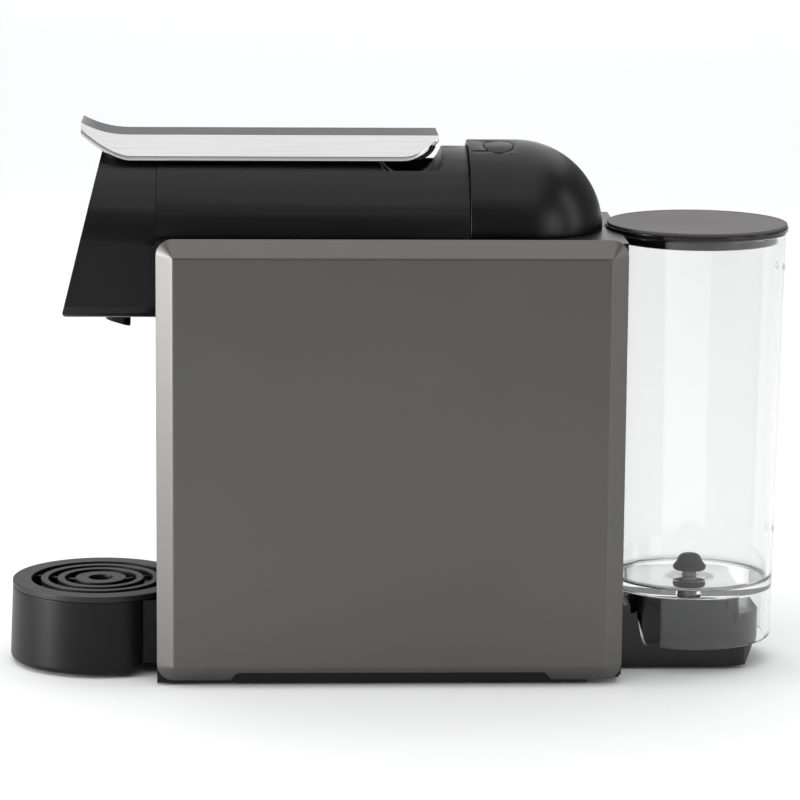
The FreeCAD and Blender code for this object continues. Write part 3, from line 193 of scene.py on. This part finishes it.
# ---- brewing unit: side plates, links, pins and screws --------------------------------------
# Punched stainless plates and turned pins that carry the knee linkage; the screws
# and the boiler bracket are zinc plated steel.
stainless = finish("stainless", ((0.36, 0.36, 0.35), (0.55, 0.55, 0.54), (0.75, 0.75, 0.74)),
                   (0.24, 0.42), pattern=drawn_metal, metallic=1.0, grain=2600.0, bump=0.15)
dress(stainless, 0.0002, "brew_frame_right", "brew_frame_left", "frame_pins", "lever_pins", "pull_link",
      "rear_links", "front_links", "piercing_blades", "pump_plunger", "thermostats")
zinc_plate = finish("zinc_plate", ((0.42, 0.43, 0.42), (0.58, 0.59, 0.56), (0.8, 0.8, 0.78)),
                    (0.3, 0.5), metallic=1.0, grain=1800.0, patch=90.0)
dress(zinc_plate, 0.0002, "frame_screws", "thermoblock_bracket")
grey_nylon = finish("grey_nylon", ((0.10, 0.10, 0.105), (0.155, 0.155, 0.16), (0.24, 0.24, 0.24)),
                    (0.42, 0.58), grain=1100.0, patch=70.0)
dress(grey_nylon, 0.0003, "extraction_plate", "brew_duct", "pump_coil", "brew_chamber")

# ---- water system and electrics inside the body ---------------------------------------------
# Cast boiler block, vibration pump, flow meter, silicone hoses and two circuit boards,
# fixed to the base and the frames between the side panels.
cast_aluminium = finish("cast_aluminium", ((0.34, 0.34, 0.35), (0.52, 0.52, 0.53), (0.72, 0.72, 0.73)),
                        (0.4, 0.62), metallic=1.0, grain=700.0, patch=60.0, depth=0.00006, bump=0.4)
dress(cast_aluminium, 0.0005, "thermoblock")
brass = finish("brass", ((0.42, 0.28, 0.09), (0.62, 0.43, 0.16), (0.82, 0.65, 0.32)),
               (0.2, 0.36), pattern=drawn_metal, metallic=1.0, grain=2200.0)
dress(brass, 0.0002, "pump_outlet")
pale_nylon = finish("pale_nylon", ((0.47, 0.45, 0.39), (0.6, 0.575, 0.51), (0.72, 0.7, 0.65)),
                    (0.36, 0.52), grain=1300.0, patch=70.0)
dress(pale_nylon, 0.0002, "panel_clips", "flow_meter_body", "flow_meter_cover", "flow_meter_rotor", "pump_core",
      "hot_water_elbow")
solder_mask = finish("solder_mask", ((0.008, 0.075, 0.03), (0.014, 0.12, 0.05), (0.2, 0.16, 0.06)),
                     (0.22, 0.36), grain=500.0, patch=160.0, edge_highlight_and_wear=0.6)
dress(solder_mask, 0.0001, "main_board", "button_board")
components = finish("components", ((0.02, 0.02, 0.022), (0.045, 0.045, 0.05), (0.3, 0.3, 0.29)),
                    (0.3, 0.5), grain=600.0, patch=150.0, edge_highlight_and_wear=0.5)
dress(components, 0.0002, "board_components", "button_switches")
silicone = finish("silicone", ((0.52, 0.52, 0.49), (0.64, 0.64, 0.61), (0.75, 0.75, 0.73)),
                  (0.3, 0.45), grain=900.0, patch=90.0)
dress(silicone, 0.0002, "water_hoses")

# ---- cowl, dome and head --------------------------------------------------------------------
# Three moulded covers over the brewing unit in satin black ABS, clipped to the deck and
# meeting at fine seams; the two keys on the dome follow its curve.
cover_black = finish("cover_black", ((0.0022, 0.002, 0.0021), (0.003, 0.0027, 0.0028), (0.016, 0.015, 0.015)),
                     (0.3, 0.37), grain=2000.0, patch=22.0, edge_highlight_and_wear=0.04, bump=0.15, specular=0.26)
dress(cover_black, 0.0004, "top_cowl", "rear_dome", "head_cover")
dress(cover_black, 0.0006, "short_cup_button", "long_cup_button")

# ---- side panels ------------------------------------------------------------------------------
# Two pressed sheet covers with a flat face and a slanted border, lacquered in a fine
# metallic grey; four pegs behind each face push into sockets on the chassis.
MM = 0.001
panel_front, panel_rear = -101.2, 92.8
panel_low, panel_high = 2.0, 187.6
panel_rim_x, panel_face_x = 48.3, 54.5
border = 7.17
sheet_wall = 1.5
notch_span = (-71.3, 64.1)
notch_height = 4.2
least_corner = 0.4
peg_radius, peg_root, peg_tip = 1.6, 53.5, 44.0
merge_reach, sliver_length = 0.000002, 0.000001
sharp_angle = math.radians(42)


def grid_faces(rows, columns):
    """Quads between neighbours of a grid whose columns close into a ring."""
    row = np.arange(rows - 1)[:, None] * columns
    here = np.arange(columns)[None, :]
    there = (here + 1) % columns
    return np.stack([row + here, row + there, row + columns + there, row + columns + here], -1).reshape(-1, 4)


def made_piece(name, body, slot_name, stands_for, material, *grids):
    """One piece from grids of points in millimetres, each rows x ring x 3 with its first and last row drawn shut."""
    points = np.concatenate([grid.reshape(-1, 3) for grid in grids]) * MM
    starts = np.cumsum([0] + [grid.shape[0] * grid.shape[1] for grid in grids[:-1]])
    faces = np.concatenate([grid_faces(*grid.shape[:2]) + start for grid, start in zip(grids, starts)])
    mesh = bpy.data.meshes.new(name)
    mesh.from_pydata(points, [], faces)
    shape = bmesh.new()
    shape.from_mesh(mesh)
    bmesh.ops.remove_doubles(shape, verts=shape.verts, dist=merge_reach)
    bmesh.ops.dissolve_degenerate(shape, edges=shape.edges, dist=sliver_length)
    bmesh.ops.recalc_face_normals(shape, faces=shape.faces)
    shape.to_mesh(mesh)
    shape.free()
    mesh.polygons.foreach_set("use_smooth", np.ones(len(mesh.polygons), bool))
    mesh.set_sharp_from_angle(angle=sharp_angle)
    mesh.materials.append(material)
    piece = bpy.data.objects.new(name, mesh)
    bpy.context.scene.collection.objects.link(piece)
    flat = piece.modifiers.new("flat_faces_stay_flat", "WEIGHTED_NORMAL")
    flat.keep_sharp = True
    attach(piece, body)
    if stands_for:
        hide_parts(*stands_for)


longest_cut = 0.49  # of a side, so that the cuts at its two ends never meet


def rounded(corners, radius, steps=5):
    """Outline through corners; each becomes a parabola that touches both sides one radius away from it."""
    corner = np.array(corners, float)
    cut = np.broadcast_to(np.array(radius, float), len(corner))[:, None]

    def toward(other):
        side = other - corner
        length = np.maximum(np.linalg.norm(side, axis=1, keepdims=True), 1e-9)
        return corner + side * np.minimum(cut / length, longest_cut)

    start = toward(np.roll(corner, 1, 0))[:, None]
    end = toward(np.roll(corner, -1, 0))[:, None]
    share = np.linspace(0, 1, steps)[None, :, None]
    bend = (1 - share) ** 2 * start + 2 * share * (1 - share) * corner[:, None] + share ** 2 * end
    return bend.reshape(-1, 2)


def eased(share):
    """Smooth step from 0 to 1: share squared times three less twice the share."""
    return share * share * (3 - 2 * share)


def panel_levels():
    """Section of the sheet from the middle of its inside, round the rim, to the middle of its face: inset, x."""
    inner_x = panel_face_x - sheet_wall
    middle = (panel_high - panel_low) / 2
    section = rounded([(middle, inner_x), (border + sheet_wall / 2, inner_x), (sheet_wall, panel_rim_x),
                       (0, panel_rim_x), (border, panel_face_x), (middle, panel_face_x)],
                      [0, 0.6, 0.2, 0.35, 0.9, 0])
    return section[:, 0], section[:, 1]


def side_panel(side):
    """Rounded rectangles of growing inset, level by level; the notch lifts the lower rim along its own slant."""
    inset, x = (part[:, None] for part in panel_levels())
    before_middle = inset < (panel_high - panel_low) / 2 - 1
    corner = np.maximum(border - inset, least_corner) * before_middle
    half_y = (panel_rear - panel_front) / 2 - inset - corner
    half_z = (panel_high - panel_low) / 2 - inset - corner
    quarter = np.arange(4)[:, None]
    turn = (np.pi / 2 * (quarter + 2) + np.linspace(0, np.pi / 2, 9))[None]
    to_y = np.array([-1, 1, 1, -1])[None, :, None]
    to_z = np.array([-1, -1, 1, 1])[None, :, None]
    arc_y = to_y * half_y[:, :, None] + corner[:, :, None] * np.cos(turn)
    arc_z = to_z * half_z[:, :, None] + corner[:, :, None] * np.sin(turn)
    straight = (panel_rear - panel_front) - 2 * border
    slant = np.linspace(0, notch_height + 0.1, 7)
    stops = np.concatenate([notch_span[0] + slant, np.linspace(-60, 55, 12), notch_span[1] - slant[::-1]])
    share = ((stops - panel_front - border) / straight)[None, None, :]
    next_y = np.roll(arc_y, -1, 1)[:, :, :1]
    next_z = np.roll(arc_z, -1, 1)[:, :, :1]
    run_y = arc_y[:, :, -1:] * (1 - share) + next_y * share
    run_z = arc_z[:, :, -1:] * (1 - share) + next_z * share
    y = np.concatenate([arc_y, run_y], 2).reshape(len(x), -1) + (panel_front + panel_rear) / 2
    z = np.concatenate([arc_z, run_z], 2).reshape(len(x), -1) + (panel_low + panel_high) / 2
    x = np.broadcast_to(x, y.shape)
    rise = np.clip(np.minimum(y - notch_span[0], notch_span[1] - y), 0, notch_height)
    lifted = np.maximum(z, panel_low + notch_height * eased(rise / notch_height))
    outer = np.arange(len(x))[:, None] >= len(x) // 2
    outer_x = panel_rim_x + (lifted - panel_low) * (panel_face_x - panel_rim_x) / border
    inner_slope = (panel_face_x - sheet_wall - panel_rim_x) / (border - sheet_wall / 2)
    inner_x = panel_rim_x + (lifted - panel_low - sheet_wall) * inner_slope
    slid = np.where(outer, outer_x, inner_x)
    x = np.where(lifted > z + 1e-6, np.maximum(x, slid), x)
    return np.stack([side * x, y, lifted], -1)


def peg(side, y, z):
    """Turned pin along X behind the panel face, with a rounded tip."""
    outline = rounded([(0, peg_tip), (peg_radius, peg_tip), (peg_radius, peg_root), (0, peg_root)],
                      [0, 0.6, 0.1, 0])
    turn = np.linspace(0, 2 * np.pi, 24, endpoint=False)[None, :]
    reach, along = outline[:, :1], outline[:, 1:]
    return np.stack([side * along + 0 * turn, y + reach * np.cos(turn), z + reach * np.sin(turn)], -1)


panel_paint = finish("panel_paint", ((0.109, 0.1065, 0.1), (0.121, 0.118, 0.111), (0.19, 0.187, 0.176)),
                     (0.36, 0.43), grain=3200.0, patch=9.0, edge_highlight_and_wear=0.15, metallic=0.85, depth=0.00001, bump=0.2)
peg_places = [(y, z) for y in (-89.0, 76.0) for z in (22.0, 167.6)]
for side, label in ((1, "right"), (-1, "left")):
    made_piece("panel_" + label, label + "_panel", "panel_grey", ["side_panel_" + label], panel_paint,
               side_panel(side), *[peg(side, y, z) for y, z in peg_places])

# ---- lever ------------------------------------------------------------------------------------
# Bright chrome over a moulded bar: flat top, slanted flanks that end in a bead, a curled
# grip in front. Plating leaves a faint long grain; two black cheeks close the heel.
chrome = finish("chrome", ((0.46, 0.455, 0.46), (0.54, 0.535, 0.54), (0.68, 0.675, 0.68)),
                (0.12, 0.2), pattern=drawn_metal, metallic=1.0, grain=1500.0, patch=14.0, bump=0.04)

lever_tip, lever_rear = -132.3, 15.8
lever_top, lever_low = 226.2, 215.8
roof_half, roof_wall = 14.6, 1.6
bead_height, bead_reach = 2.9, 0.7
flank_slope = 0.76  # how far a flank runs outwards for each millimetre down
flank_wall = 1.4
grip_length, grip_curl, grip_lift = 20.0, 4.9, 10.4
heel_length, heel_lift = 15.0, 8.0


def lever_section(y, solid):
    """One section across the lever: a channel of roof, slanted flanks and bead, or a solid bar at both ends."""
    grip = max(0.0, 1 - (y - lever_tip) / grip_length)
    heel = max(0.0, 1 - (lever_rear - y) / heel_length)
    top = lever_top + grip_curl * grip ** 2.2
    low = lever_low + grip_lift * grip ** 1.6 + heel_lift * heel ** 2
    bead = min(bead_height, top - low - 0.9)
    flank_low = max(lever_low, low - (top - lever_top))
    flank = max(roof_half + flank_slope * (lever_top - flank_low - bead_height), roof_half + 0.2)
    under = low if solid else top - roof_wall
    half = [(flank + 0.2, low), (flank + bead_reach, low + bead * 0.2), (flank + bead_reach, low + bead * 0.8),
            (flank, low + bead), (roof_half, top)]
    inside = [(roof_half - flank_wall, under), (flank - flank_wall, min(low + bead, under)), (flank - 0.9, low)]
    corners = half + [(-x, z) for x, z in half[::-1]] + [(-x, z) for x, z in inside[::-1]] + inside
    half_radii = [0.1, 0.35, 0.35, 0.3, 0.55]
    outline = rounded(corners, half_radii + half_radii[::-1] + [0.1] * 6, 4)
    return np.stack([outline[:, 0], np.full(len(outline), y), outline[:, 1]], -1)


def drawn_shut(rows):
    """Rows of a bar with each end closed by a row on its middle point."""
    ends = [np.broadcast_to(row.mean(0), row.shape)[None] for row in (rows[0], rows[-1])]
    return np.concatenate([ends[0], rows, ends[1]])


def lever_grid():
    """Sections from the curled grip in front to the heel behind; the low edge sweeps up at both ends."""
    solid_front = lever_tip + np.array([0.0, 0.25, 0.8, 1.6, 2.8, 4.2, 5.9])
    hollow = np.concatenate([lever_tip + np.array([6.0, 7.5, 9.0, 11.0, 13.0, 15.0, 17.0, 18.5, 20.0]),
                             np.linspace(-105, 0, 8), lever_rear - np.array([15, 13, 11, 9, 7, 5, 3.4, 2.1])])
    solid_rear = lever_rear - np.array([2.0, 1.0, 0.0])
    return drawn_shut(np.stack([lever_section(y, solid)
                                for ys, solid in ((solid_front, True), (hollow, False), (solid_rear, True))
                                for y in ys]))


heel_y, heel_z, heel_radius = 5.8, 225.6, 9.3
cheek_x = (14.2, 18.4)
cheek_wall = 1.4


def heel_cheek(side):
    """Curved wall behind one flank: a rounded bar bent round the middle of the heel."""
    inner = heel_radius - cheek_wall
    section = rounded([(cheek_x[0], inner), (cheek_x[1], inner), (cheek_x[1], heel_radius),
                       (cheek_x[0], heel_radius)], 0.3, 4)
    turn = np.radians(np.linspace(-84, -22, 24))[:, None]
    across, reach = section[None, :, 0], section[None, :, 1]
    return drawn_shut(np.stack([side * across + 0 * turn, heel_y + reach * np.cos(turn),
                                heel_z + reach * np.sin(turn)], -1))


made_piece("lever_bar", "lever", "lever_chrome", ["lever"], chrome, lever_grid())
made_piece("lever_heel", "lever", "satin_black", [], satin_black, heel_cheek(1), heel_cheek(-1))

# ---- water tank ---------------------------------------------------------------------------------
# One clear injection moulding: a tapered tube with a raised floor, a spigot under it for
# the valve, a skirt that stands round the tank base, and two small level marks behind.
tank_y = 126.04
tank_low, tank_high = 11.0, 185.0
tank_taper = (34.85, 37.5)
floor_low, floor_high = 32.4, 36.0
mark_heights = (57.0, 170.0)
mark_swell = 0.45
tank_wall = 2.4
tank_neck = 3.43  # radius of the hole that the valve stem stands in
floor_gap = 0.6  # by how much the floor is thinner below, over the tank base
spigot_radii, spigot_low = (8.0, 10.0), 25.2
skirt_high, skirt_reach = 31.5, 30.0  # only points beyond this radius belong to the skirt
skirt_half_turn, skirt_turn = 40.0, 12.0  # degrees either side of the front, and over which the skirt comes down


def turned(outline, centre_y, columns=192):
    """Outline of radius and height carried once round a vertical axis, closed back on its first point."""
    loop = np.concatenate([outline, outline[:1]])
    turn = np.linspace(0, 2 * np.pi, columns, endpoint=False)[None, :]
    radius, height = loop[:, :1], loop[:, 1:]
    return np.stack([radius * np.cos(turn), centre_y + radius * np.sin(turn), height + 0 * turn], -1)


def tank_radius(z):
    """Outer radius at one height, on a straight line from the lower to the upper one."""
    return tank_taper[0] + (z - tank_low) / (tank_high - tank_low) * (tank_taper[1] - tank_taper[0])


def tank_grid():
    """Tapered tube turned round its axis; marks swell the outer wall behind, the skirt rises in an S in front."""
    underside = floor_low + floor_gap
    inner, outer = spigot_radii
    marks = [(tank_radius(z + step), z + step) for z in mark_heights[::-1] for step in (1.4, 0.8, -0.8, -1.4)]
    corners = ([(tank_neck, floor_high), (tank_radius(floor_high) - tank_wall, floor_high),
                (tank_taper[1] - tank_wall, tank_high), (tank_taper[1], tank_high)] + marks
               + [(tank_taper[0], tank_low), (tank_taper[0] - tank_wall, tank_low),
                  (tank_radius(floor_low) - tank_wall, underside), (outer, underside), (outer, spigot_low),
                  (inner, spigot_low), (inner, floor_low), (tank_neck, floor_low)])
    radii = [0.3, 2.2, 0.5, 0.7] + [0.05] * len(marks) + [0.7, 0.5, 1.0, 0.6, 0.4, 0.4, 0.4, 0.3]
    grid = turned(rounded(corners, radii), tank_y, 320)
    x, y, z = grid[..., 0], grid[..., 1] - tank_y, grid[..., 2]
    around = np.degrees(np.arctan2(x, y))
    reach = np.hypot(x, y)
    behind = np.clip(1.4 - np.abs(around) / 7, 0, 1)
    swell = sum(np.clip(2.2 - np.abs(z - mark) / 0.6, 0, 1) for mark in mark_heights)
    on_outer_wall = reach > tank_radius(z) - 0.6
    scale = (reach + mark_swell * behind * swell * on_outer_wall) / np.maximum(reach, 1e-9)
    from_front = np.abs(np.abs(around) - 180)
    front = 1 - eased(np.clip((from_front - skirt_half_turn) / skirt_turn, 0, 1))
    skirt = tank_low + (skirt_high - tank_low) * front
    z = np.where(reach > skirt_reach, np.maximum(z, skirt), z)
    return np.stack([x * scale, tank_y + y * scale, z], -1)


# Clear styrene: glass with faint flow waves from moulding.
clear_plastic, glass = surfaced(
    "clear_plastic", made_surface, 35.0, 12.0, 0.0, ((0.0, (0.915, 0.92, 0.915)), (1.0, (0.945, 0.95, 0.945))),
    ((0.0, 0.0), (1.0, 0.03)), 0.0001, 0.08)
glass.inputs["Transmission Weight"].default_value = 1.0
glass.inputs["IOR"].default_value = 1.47
made_piece("tank", "water_tank", "clear_plastic", ["water_tank"], clear_plastic, tank_grid())

# ---- tank valve -----------------------------------------------------------------------------------
# Soft rubber mushroom on a pale ribbed nylon stem; its foot has a round flange that the
# pin of the tank base pushes up.
valve_seat = 38.5


def ribbed(grid, low, high, depth, count):
    """Draws a turned grid in between evenly spaced ribs over one band of heights."""
    x, y, z = grid[..., 0], grid[..., 1] - tank_y, grid[..., 2]
    inside = np.clip((z - low) / 0.8, 0, 1) * np.clip((high - z) / 0.8, 0, 1)
    groove = 0.5 + 0.5 * np.cos(count * np.arctan2(y, x))
    scale = 1 - depth * inside * groove / np.maximum(np.hypot(x, y), 1.0)
    return np.stack([x * scale, tank_y + y * scale, z], -1)


stem_outline = rounded([(0, 29.7), (6.85, 29.7), (6.85, 32.0), (3.35, 32.0), (3.35, 32.8), (3.35, 33.6),
                        (3.35, 37.6), (3.35, 38.4), (0, 38.4)],
                       [0, 0.4, 0.4, 0.2, 0.1, 0.1, 0.1, 0.2, 0])
made_piece("stem", "tank_valve", "pale_plastic", ["valve_stem"], pale_nylon,
           ribbed(turned(stem_outline, tank_y, 96), 32.6, 38.2, 0.8, 4))
cap_outline = rounded([(0, 38.6), (3.2, 38.6), (4.0, 39.6), (6.7, valve_seat), (7.1, 39.3), (6.9, 40.3),
                       (5.6, 41.6), (5.0, 43.6), (3.4, 45.2), (0, 45.3)],
                      [0, 0.4, 0.5, 0.2, 0.3, 0.4, 1.0, 1.2, 1.6, 0], 6)
made_piece("cap", "tank_valve", "rubber_black", ["valve_cap"], rubber,
           ribbed(turned(cap_outline, tank_y, 96), 41.0, 44.0, 0.25, 12))

# ---- tank lid -------------------------------------------------------------------------------------
# Matte grey disc pressed into a glossy black ring; a hollow plug under the ring
# centres the lid in the mouth of the tank.
lid_grey = finish("lid_grey", ((0.052, 0.043, 0.044), (0.066, 0.056, 0.057), (0.16, 0.143, 0.143)),
                  (0.5, 0.62), grain=2400.0, patch=30.0, edge_highlight_and_wear=0.4)
gloss_black = finish("gloss_black", ((0.004, 0.004, 0.0041), (0.0056, 0.0054, 0.0055), (0.02, 0.02, 0.02)),
                     (0.12, 0.2), grain=1500.0, patch=25.0, edge_highlight_and_wear=0.15, bump=0.05, specular=0.4)
rim_radius, rim_high, rim_low = 38.46, 187.3, 185.3
lid_radius, lid_high = rim_radius - 0.5, 188.5
plug_radii, plug_low = (32.5, 34.3), 181.0
lid_dip = 0.18  # the middle of the disc lies this far below its edge
lid_outline = rounded([(0, rim_high + 0.05), (lid_radius, rim_high + 0.05), (lid_radius, lid_high),
                       (37.2, lid_high), (36.6, lid_high - lid_dip), (0, lid_high - lid_dip)],
                      [0, 0.2, 0.35, 0.15, 0.2, 0])
made_piece("lid", "tank_lid", "lid_grey", ["tank_lid"], lid_grey, turned(lid_outline, tank_y))
rim_outline = rounded([(0, rim_high), (rim_radius, rim_high), (rim_radius, rim_low), (plug_radii[1], rim_low),
                       (plug_radii[1], plug_low), (plug_radii[0], plug_low), (plug_radii[0], rim_low), (0, rim_low)],
                      [0, 0.5, 0.5, 0.3, 0.5, 0.4, 0.4, 0])
made_piece("lid_ring", "tank_lid", "gloss_black", ["tank_lid_rim"], gloss_black, turned(rim_outline, tank_y))

# ---- tank base ------------------------------------------------------------------------------------
# Black plinth that reaches out under the tank with the seat and valve socket on top;
# smooth moulded, so the tank wall mirrors in it.
base_black = finish("base_black", ((0.0022, 0.0021, 0.0022), (0.003, 0.0028, 0.0029), (0.03, 0.029, 0.028)),
                    (0.13, 0.22), grain=1500.0, patch=28.0, edge_highlight_and_wear=0.5, bump=0.08, specular=0.42)
dress(base_black, 0.0006, "tank_base")

# ---- drip cup -------------------------------------------------------------------------------------
# Round satin black cup, flat where it hangs on the drawer door, with a slanted heel
# low down at the back; two hooks behind go into the door's pockets.
cup_y = -126.0
cup_back = -107.7
cup_low, cup_high = 1.3, 32.5
cup_radii = (38.5, 37.25)
cup_inner_radii, cup_floor = (35.5, 35.25), 3.3
heel_start, heel_rise = cup_back - 5.5, 6.5 / 11
corner_steps = 7


def cut_disc(radius, back, count=160, across=24):
    """Rings round the cup axis: an arc from one end of the flat back round the front to the other, then the flat."""
    start = np.arcsin(np.clip((back - cup_y) / np.maximum(radius, 1e-6), -1, 1))
    turn = start - np.linspace(0, 1, count)[None, :] * (np.pi + 2 * start)
    arc = np.stack([radius * np.cos(turn), cup_y + radius * np.sin(turn)], -1)
    share = np.linspace(0, 1, across + 2)[None, 1:-1, None]
    flat = arc[:, -1:] * (1 - share) + arc[:, :1] * share
    return np.concatenate([arc, flat], 1)


def cup_grid():
    """Section of radius and height carried round the cut disc; the heel draws the flat back forward low down."""
    outline = rounded([(0, cup_low), (cup_radii[0], cup_low), (cup_radii[1], cup_high),
                       (cup_inner_radii[1], cup_high), (cup_inner_radii[0], cup_floor), (0, cup_floor)],
                      [0, 2.4, 0.4, 0.4, 1.5, 0], corner_steps)
    heights = np.linspace(3.8, 12.0, 12)
    wall = np.stack([np.interp(heights, (cup_low, cup_high), cup_radii), heights], -1)
    wall_foot = 2 * corner_steps
    outline = np.concatenate([outline[:wall_foot], wall, outline[wall_foot:]])
    radius, height = outline[:, :1], outline[:, 1:]
    outside = np.interp(height, (cup_low, cup_high), cup_radii)
    back = cup_back - np.clip(2.5 * (outside - radius), 0, 5)
    heel = heel_start + (height - 0.3) * heel_rise
    plan = cut_disc(radius, np.minimum(back, heel))
    height = np.broadcast_to(height[:, :, None], plan[..., :1].shape)
    return np.concatenate([plan, height], -1)


def block(low, high, radius=0.3):
    """Upright block with rounded upper and lower edges, from rings of a rounded rectangle."""
    low, high = np.array(low, float), np.array(high, float)
    centre, half = (low + high) / 2, (high - low) / 2
    outline = rounded([(-1.0, low[2]), (0.0, low[2]), (0.0, high[2]), (-1.0, high[2])], [0, radius, radius, 0])
    shrink = outline[:, :1]
    ring = rounded([(-half[0], -half[1]), (half[0], -half[1]), (half[0], half[1]), (-half[0], half[1])], radius, 4)
    at_middle = shrink < -0.99
    size = np.where(at_middle, 0.0, 1 + shrink / half.min())
    plan = centre[None, None, :2] + ring[None] * size[:, :, None]
    height = np.broadcast_to(outline[:, 1:, None], plan[..., :1].shape)
    return np.concatenate([plan, height], -1)


made_piece("cup", "drip_cup", "satin_black", ["drip_cup"], satin_black, cup_grid(),
           *[block((hook_x - 3, -109, 24), (hook_x + 3, -103.7, 28)) for hook_x in (15, -15)])

# ---- drip grille ------------------------------------------------------------------------------------
# Matte dark grey lid of the cup: four concentric rings on eight ribs, with a locating
# ring below that drops into the cup; the body cuts the circle off behind.
grille_edge = -101.5
ring_pairs = ((37.25, 29.4), (25.4, 22.25), (18.4, 15.25), (10.8, 5.1))
ring_high = 35.0
locating_radii, locating_low = (34.75, 33.25), 30.0
rib_reach, rib_half, rib_high = (6.0, 33.2), 1.0, 33.3
rib_count = 8


def ring_grid(outer, inner, low, high, edge, radius=0.35):
    """Round-edged bar bent round the cup axis; where the straight edge cuts it, it ends in that plane."""
    section = rounded([(outer, low), (outer, high), (inner, high), (inner, low)], radius, 4)
    reach, height = section[None, :, 0], section[None, :, 1]
    whole = edge - cup_y > inner
    limit = np.full_like(reach, np.pi / 2) if whole else np.arcsin(np.clip((edge - cup_y) / reach, -1, 1))
    turn = limit - np.linspace(0, 1, 200)[:, None] * (np.pi + 2 * limit)
    bar = np.stack([reach * np.cos(turn), np.minimum(cup_y + reach * np.sin(turn), edge),
                    height + 0 * turn], -1)
    return bar if whole else drawn_shut(bar)


def rib_grid(turn):
    """Straight bar under the rings, out from the middle at one angle."""
    reach = np.repeat(rib_reach, 2)[:, None]
    section = rounded([(-rib_half, cup_high), (rib_half, cup_high), (rib_half, rib_high), (-rib_half, rib_high)],
                      0.3, 4)
    shut = np.array([0.0, 1.0, 1.0, 0.0])[:, None]
    side = section[None, :, 0] * shut
    middle = (cup_high + rib_high) / 2
    height = middle + (section[None, :, 1] - middle) * shut
    reach = reach + 0 * side
    return np.stack([reach * np.cos(turn) - side * np.sin(turn),
                     np.minimum(cup_y + reach * np.sin(turn) + side * np.cos(turn), grille_edge), height], -1)


grille_grey = finish("grille_grey", ((0.006, 0.0055, 0.0055), (0.009, 0.0083, 0.0083), (0.07, 0.067, 0.065)),
                     (0.42, 0.52), grain=1900.0, patch=50.0, edge_highlight_and_wear=0.4, specular=0.4)
made_piece("grille", "drip_grille", "grille_grey", ["drip_grille"], grille_grey,
           *[ring_grid(outer, inner, cup_high, ring_high, grille_edge) for outer, inner in ring_pairs],
           ring_grid(*locating_radii, locating_low, cup_high + 0.1, heel_start, 0.3),
           *[rib_grid(2 * math.pi * (rib + 0.5) / rib_count) for rib in range(rib_count)])

# ---- floor, light and camera ---------------------------------------------------------------------------
# Pale seamless floor and a dim room, so that black plastic stays dark. A broad lamp hangs
# overhead; lamps at both ends draw soft bands; a small one far behind mirrors in the tank floor.
floor_mesh = bpy.data.meshes.new("floor")
floor_mesh.from_pydata([(-14.0, -9.0, 0.0), (9.0, -9.0, 0.0), (9.0, 9.0, 0.0), (-14.0, 9.0, 0.0)], [],
                       [(0, 1, 2, 3)])
floor = bpy.data.objects.new("floor", floor_mesh)
floor_paint = bpy.data.materials.new("floor_paint")
floor_paint.use_nodes = True
paper = floor_paint.node_tree.nodes["Principled BSDF"]
paper.inputs["Base Color"].default_value = (0.93, 0.93, 0.93, 1.0)
paper.inputs["Roughness"].default_value = 0.9
paper.inputs["Specular IOR Level"].default_value = 0.1
floor_mesh.materials.append(floor_paint)
bpy.context.scene.collection.objects.link(floor)


def placed(holder, right, up, back, place):
    """Puts a lamp or the camera at its place, looking along the opposite of back, and into the scene."""
    turn = np.column_stack([right, up, back, place])
    holder.matrix_world = Matrix(np.vstack([turn, (0, 0, 0, 1)]).tolist())
    bpy.context.scene.collection.objects.link(holder)


def softbox(name, place, target, size, power):
    """Rectangular area lamp that looks from its place at a target."""
    lamp = bpy.data.lights.new(name, "AREA")
    lamp.shape = "RECTANGLE"
    lamp.size, lamp.size_y = size
    lamp.energy = power
    holder = bpy.data.objects.new(name, lamp)
    back = np.array(place, float) - np.array(target, float)
    back /= np.linalg.norm(back)
    right = np.cross((0.0, 0.0, 1.0), back)
    right /= np.linalg.norm(right)
    placed(holder, right, np.cross(back, right), back, place)


# Each lamp: place, target, width and height, watts.
softbox("overhead", (0.55, 0.0, 2.2), (0.0, 0.0, 0.1), (2.6, 3.2), 34.0)
softbox("front_strip", (0.5, -1.34, 0.17), (0.0, -0.126, 0.02), (0.12, 0.34), 14.0)
softbox("front_edge", (0.16, -1.6, 0.6), (0.0, -0.1, 0.1), (0.5, 1.1), 12.0)
softbox("rear_strip", (0.2, 1.5, 0.62), (0.0, 0.0, 0.12), (0.4, 1.1), 4.0)
softbox("rear_fill", (1.3, 1.5, 0.5), (0.0, 0.1, 0.15), (0.7, 0.9), 7.0)
softbox("backdrop", (-4.6, 0.72, 0.95), (0.0, 0.13, 0.05), (0.8, 0.9), 3.8)
softbox("background", (-4.6, 0.0, 3.2), (-4.4, 0.0, 0.0), (6.5, 7.0), 190.0)
room = bpy.data.worlds.new("room")
room.use_nodes = True
room.node_tree.nodes["Background"].inputs["Color"].default_value = (0.95, 0.97, 1.0, 1.0)
room.node_tree.nodes["Background"].inputs["Strength"].default_value = 0.26
bpy.context.scene.world = room
bpy.context.scene.view_settings.view_transform = "Standard"

# A long lens a little above the machine, turned by these angles from straight along -X.
yaw, pitch, roll = 0.0415, 0.1851, 0.0081
forward = np.array([-math.cos(pitch) * math.cos(yaw), math.cos(pitch) * math.sin(yaw), -math.sin(pitch)])
level = np.cross(forward, (0.0, 0.0, 1.0))
level /= np.linalg.norm(level)
upright = np.cross(level, forward)
camera_data = bpy.data.cameras.new("camera")
camera_data.lens = 171.43
camera_data.sensor_width = 36.0
camera = bpy.data.objects.new("camera", camera_data)
placed(camera, math.cos(roll) * level + math.sin(roll) * upright, math.cos(roll) * upright - math.sin(roll) * level,
       -forward, (1.58724, -0.06472, 0.40929))
bpy.context.scene.camera = camera
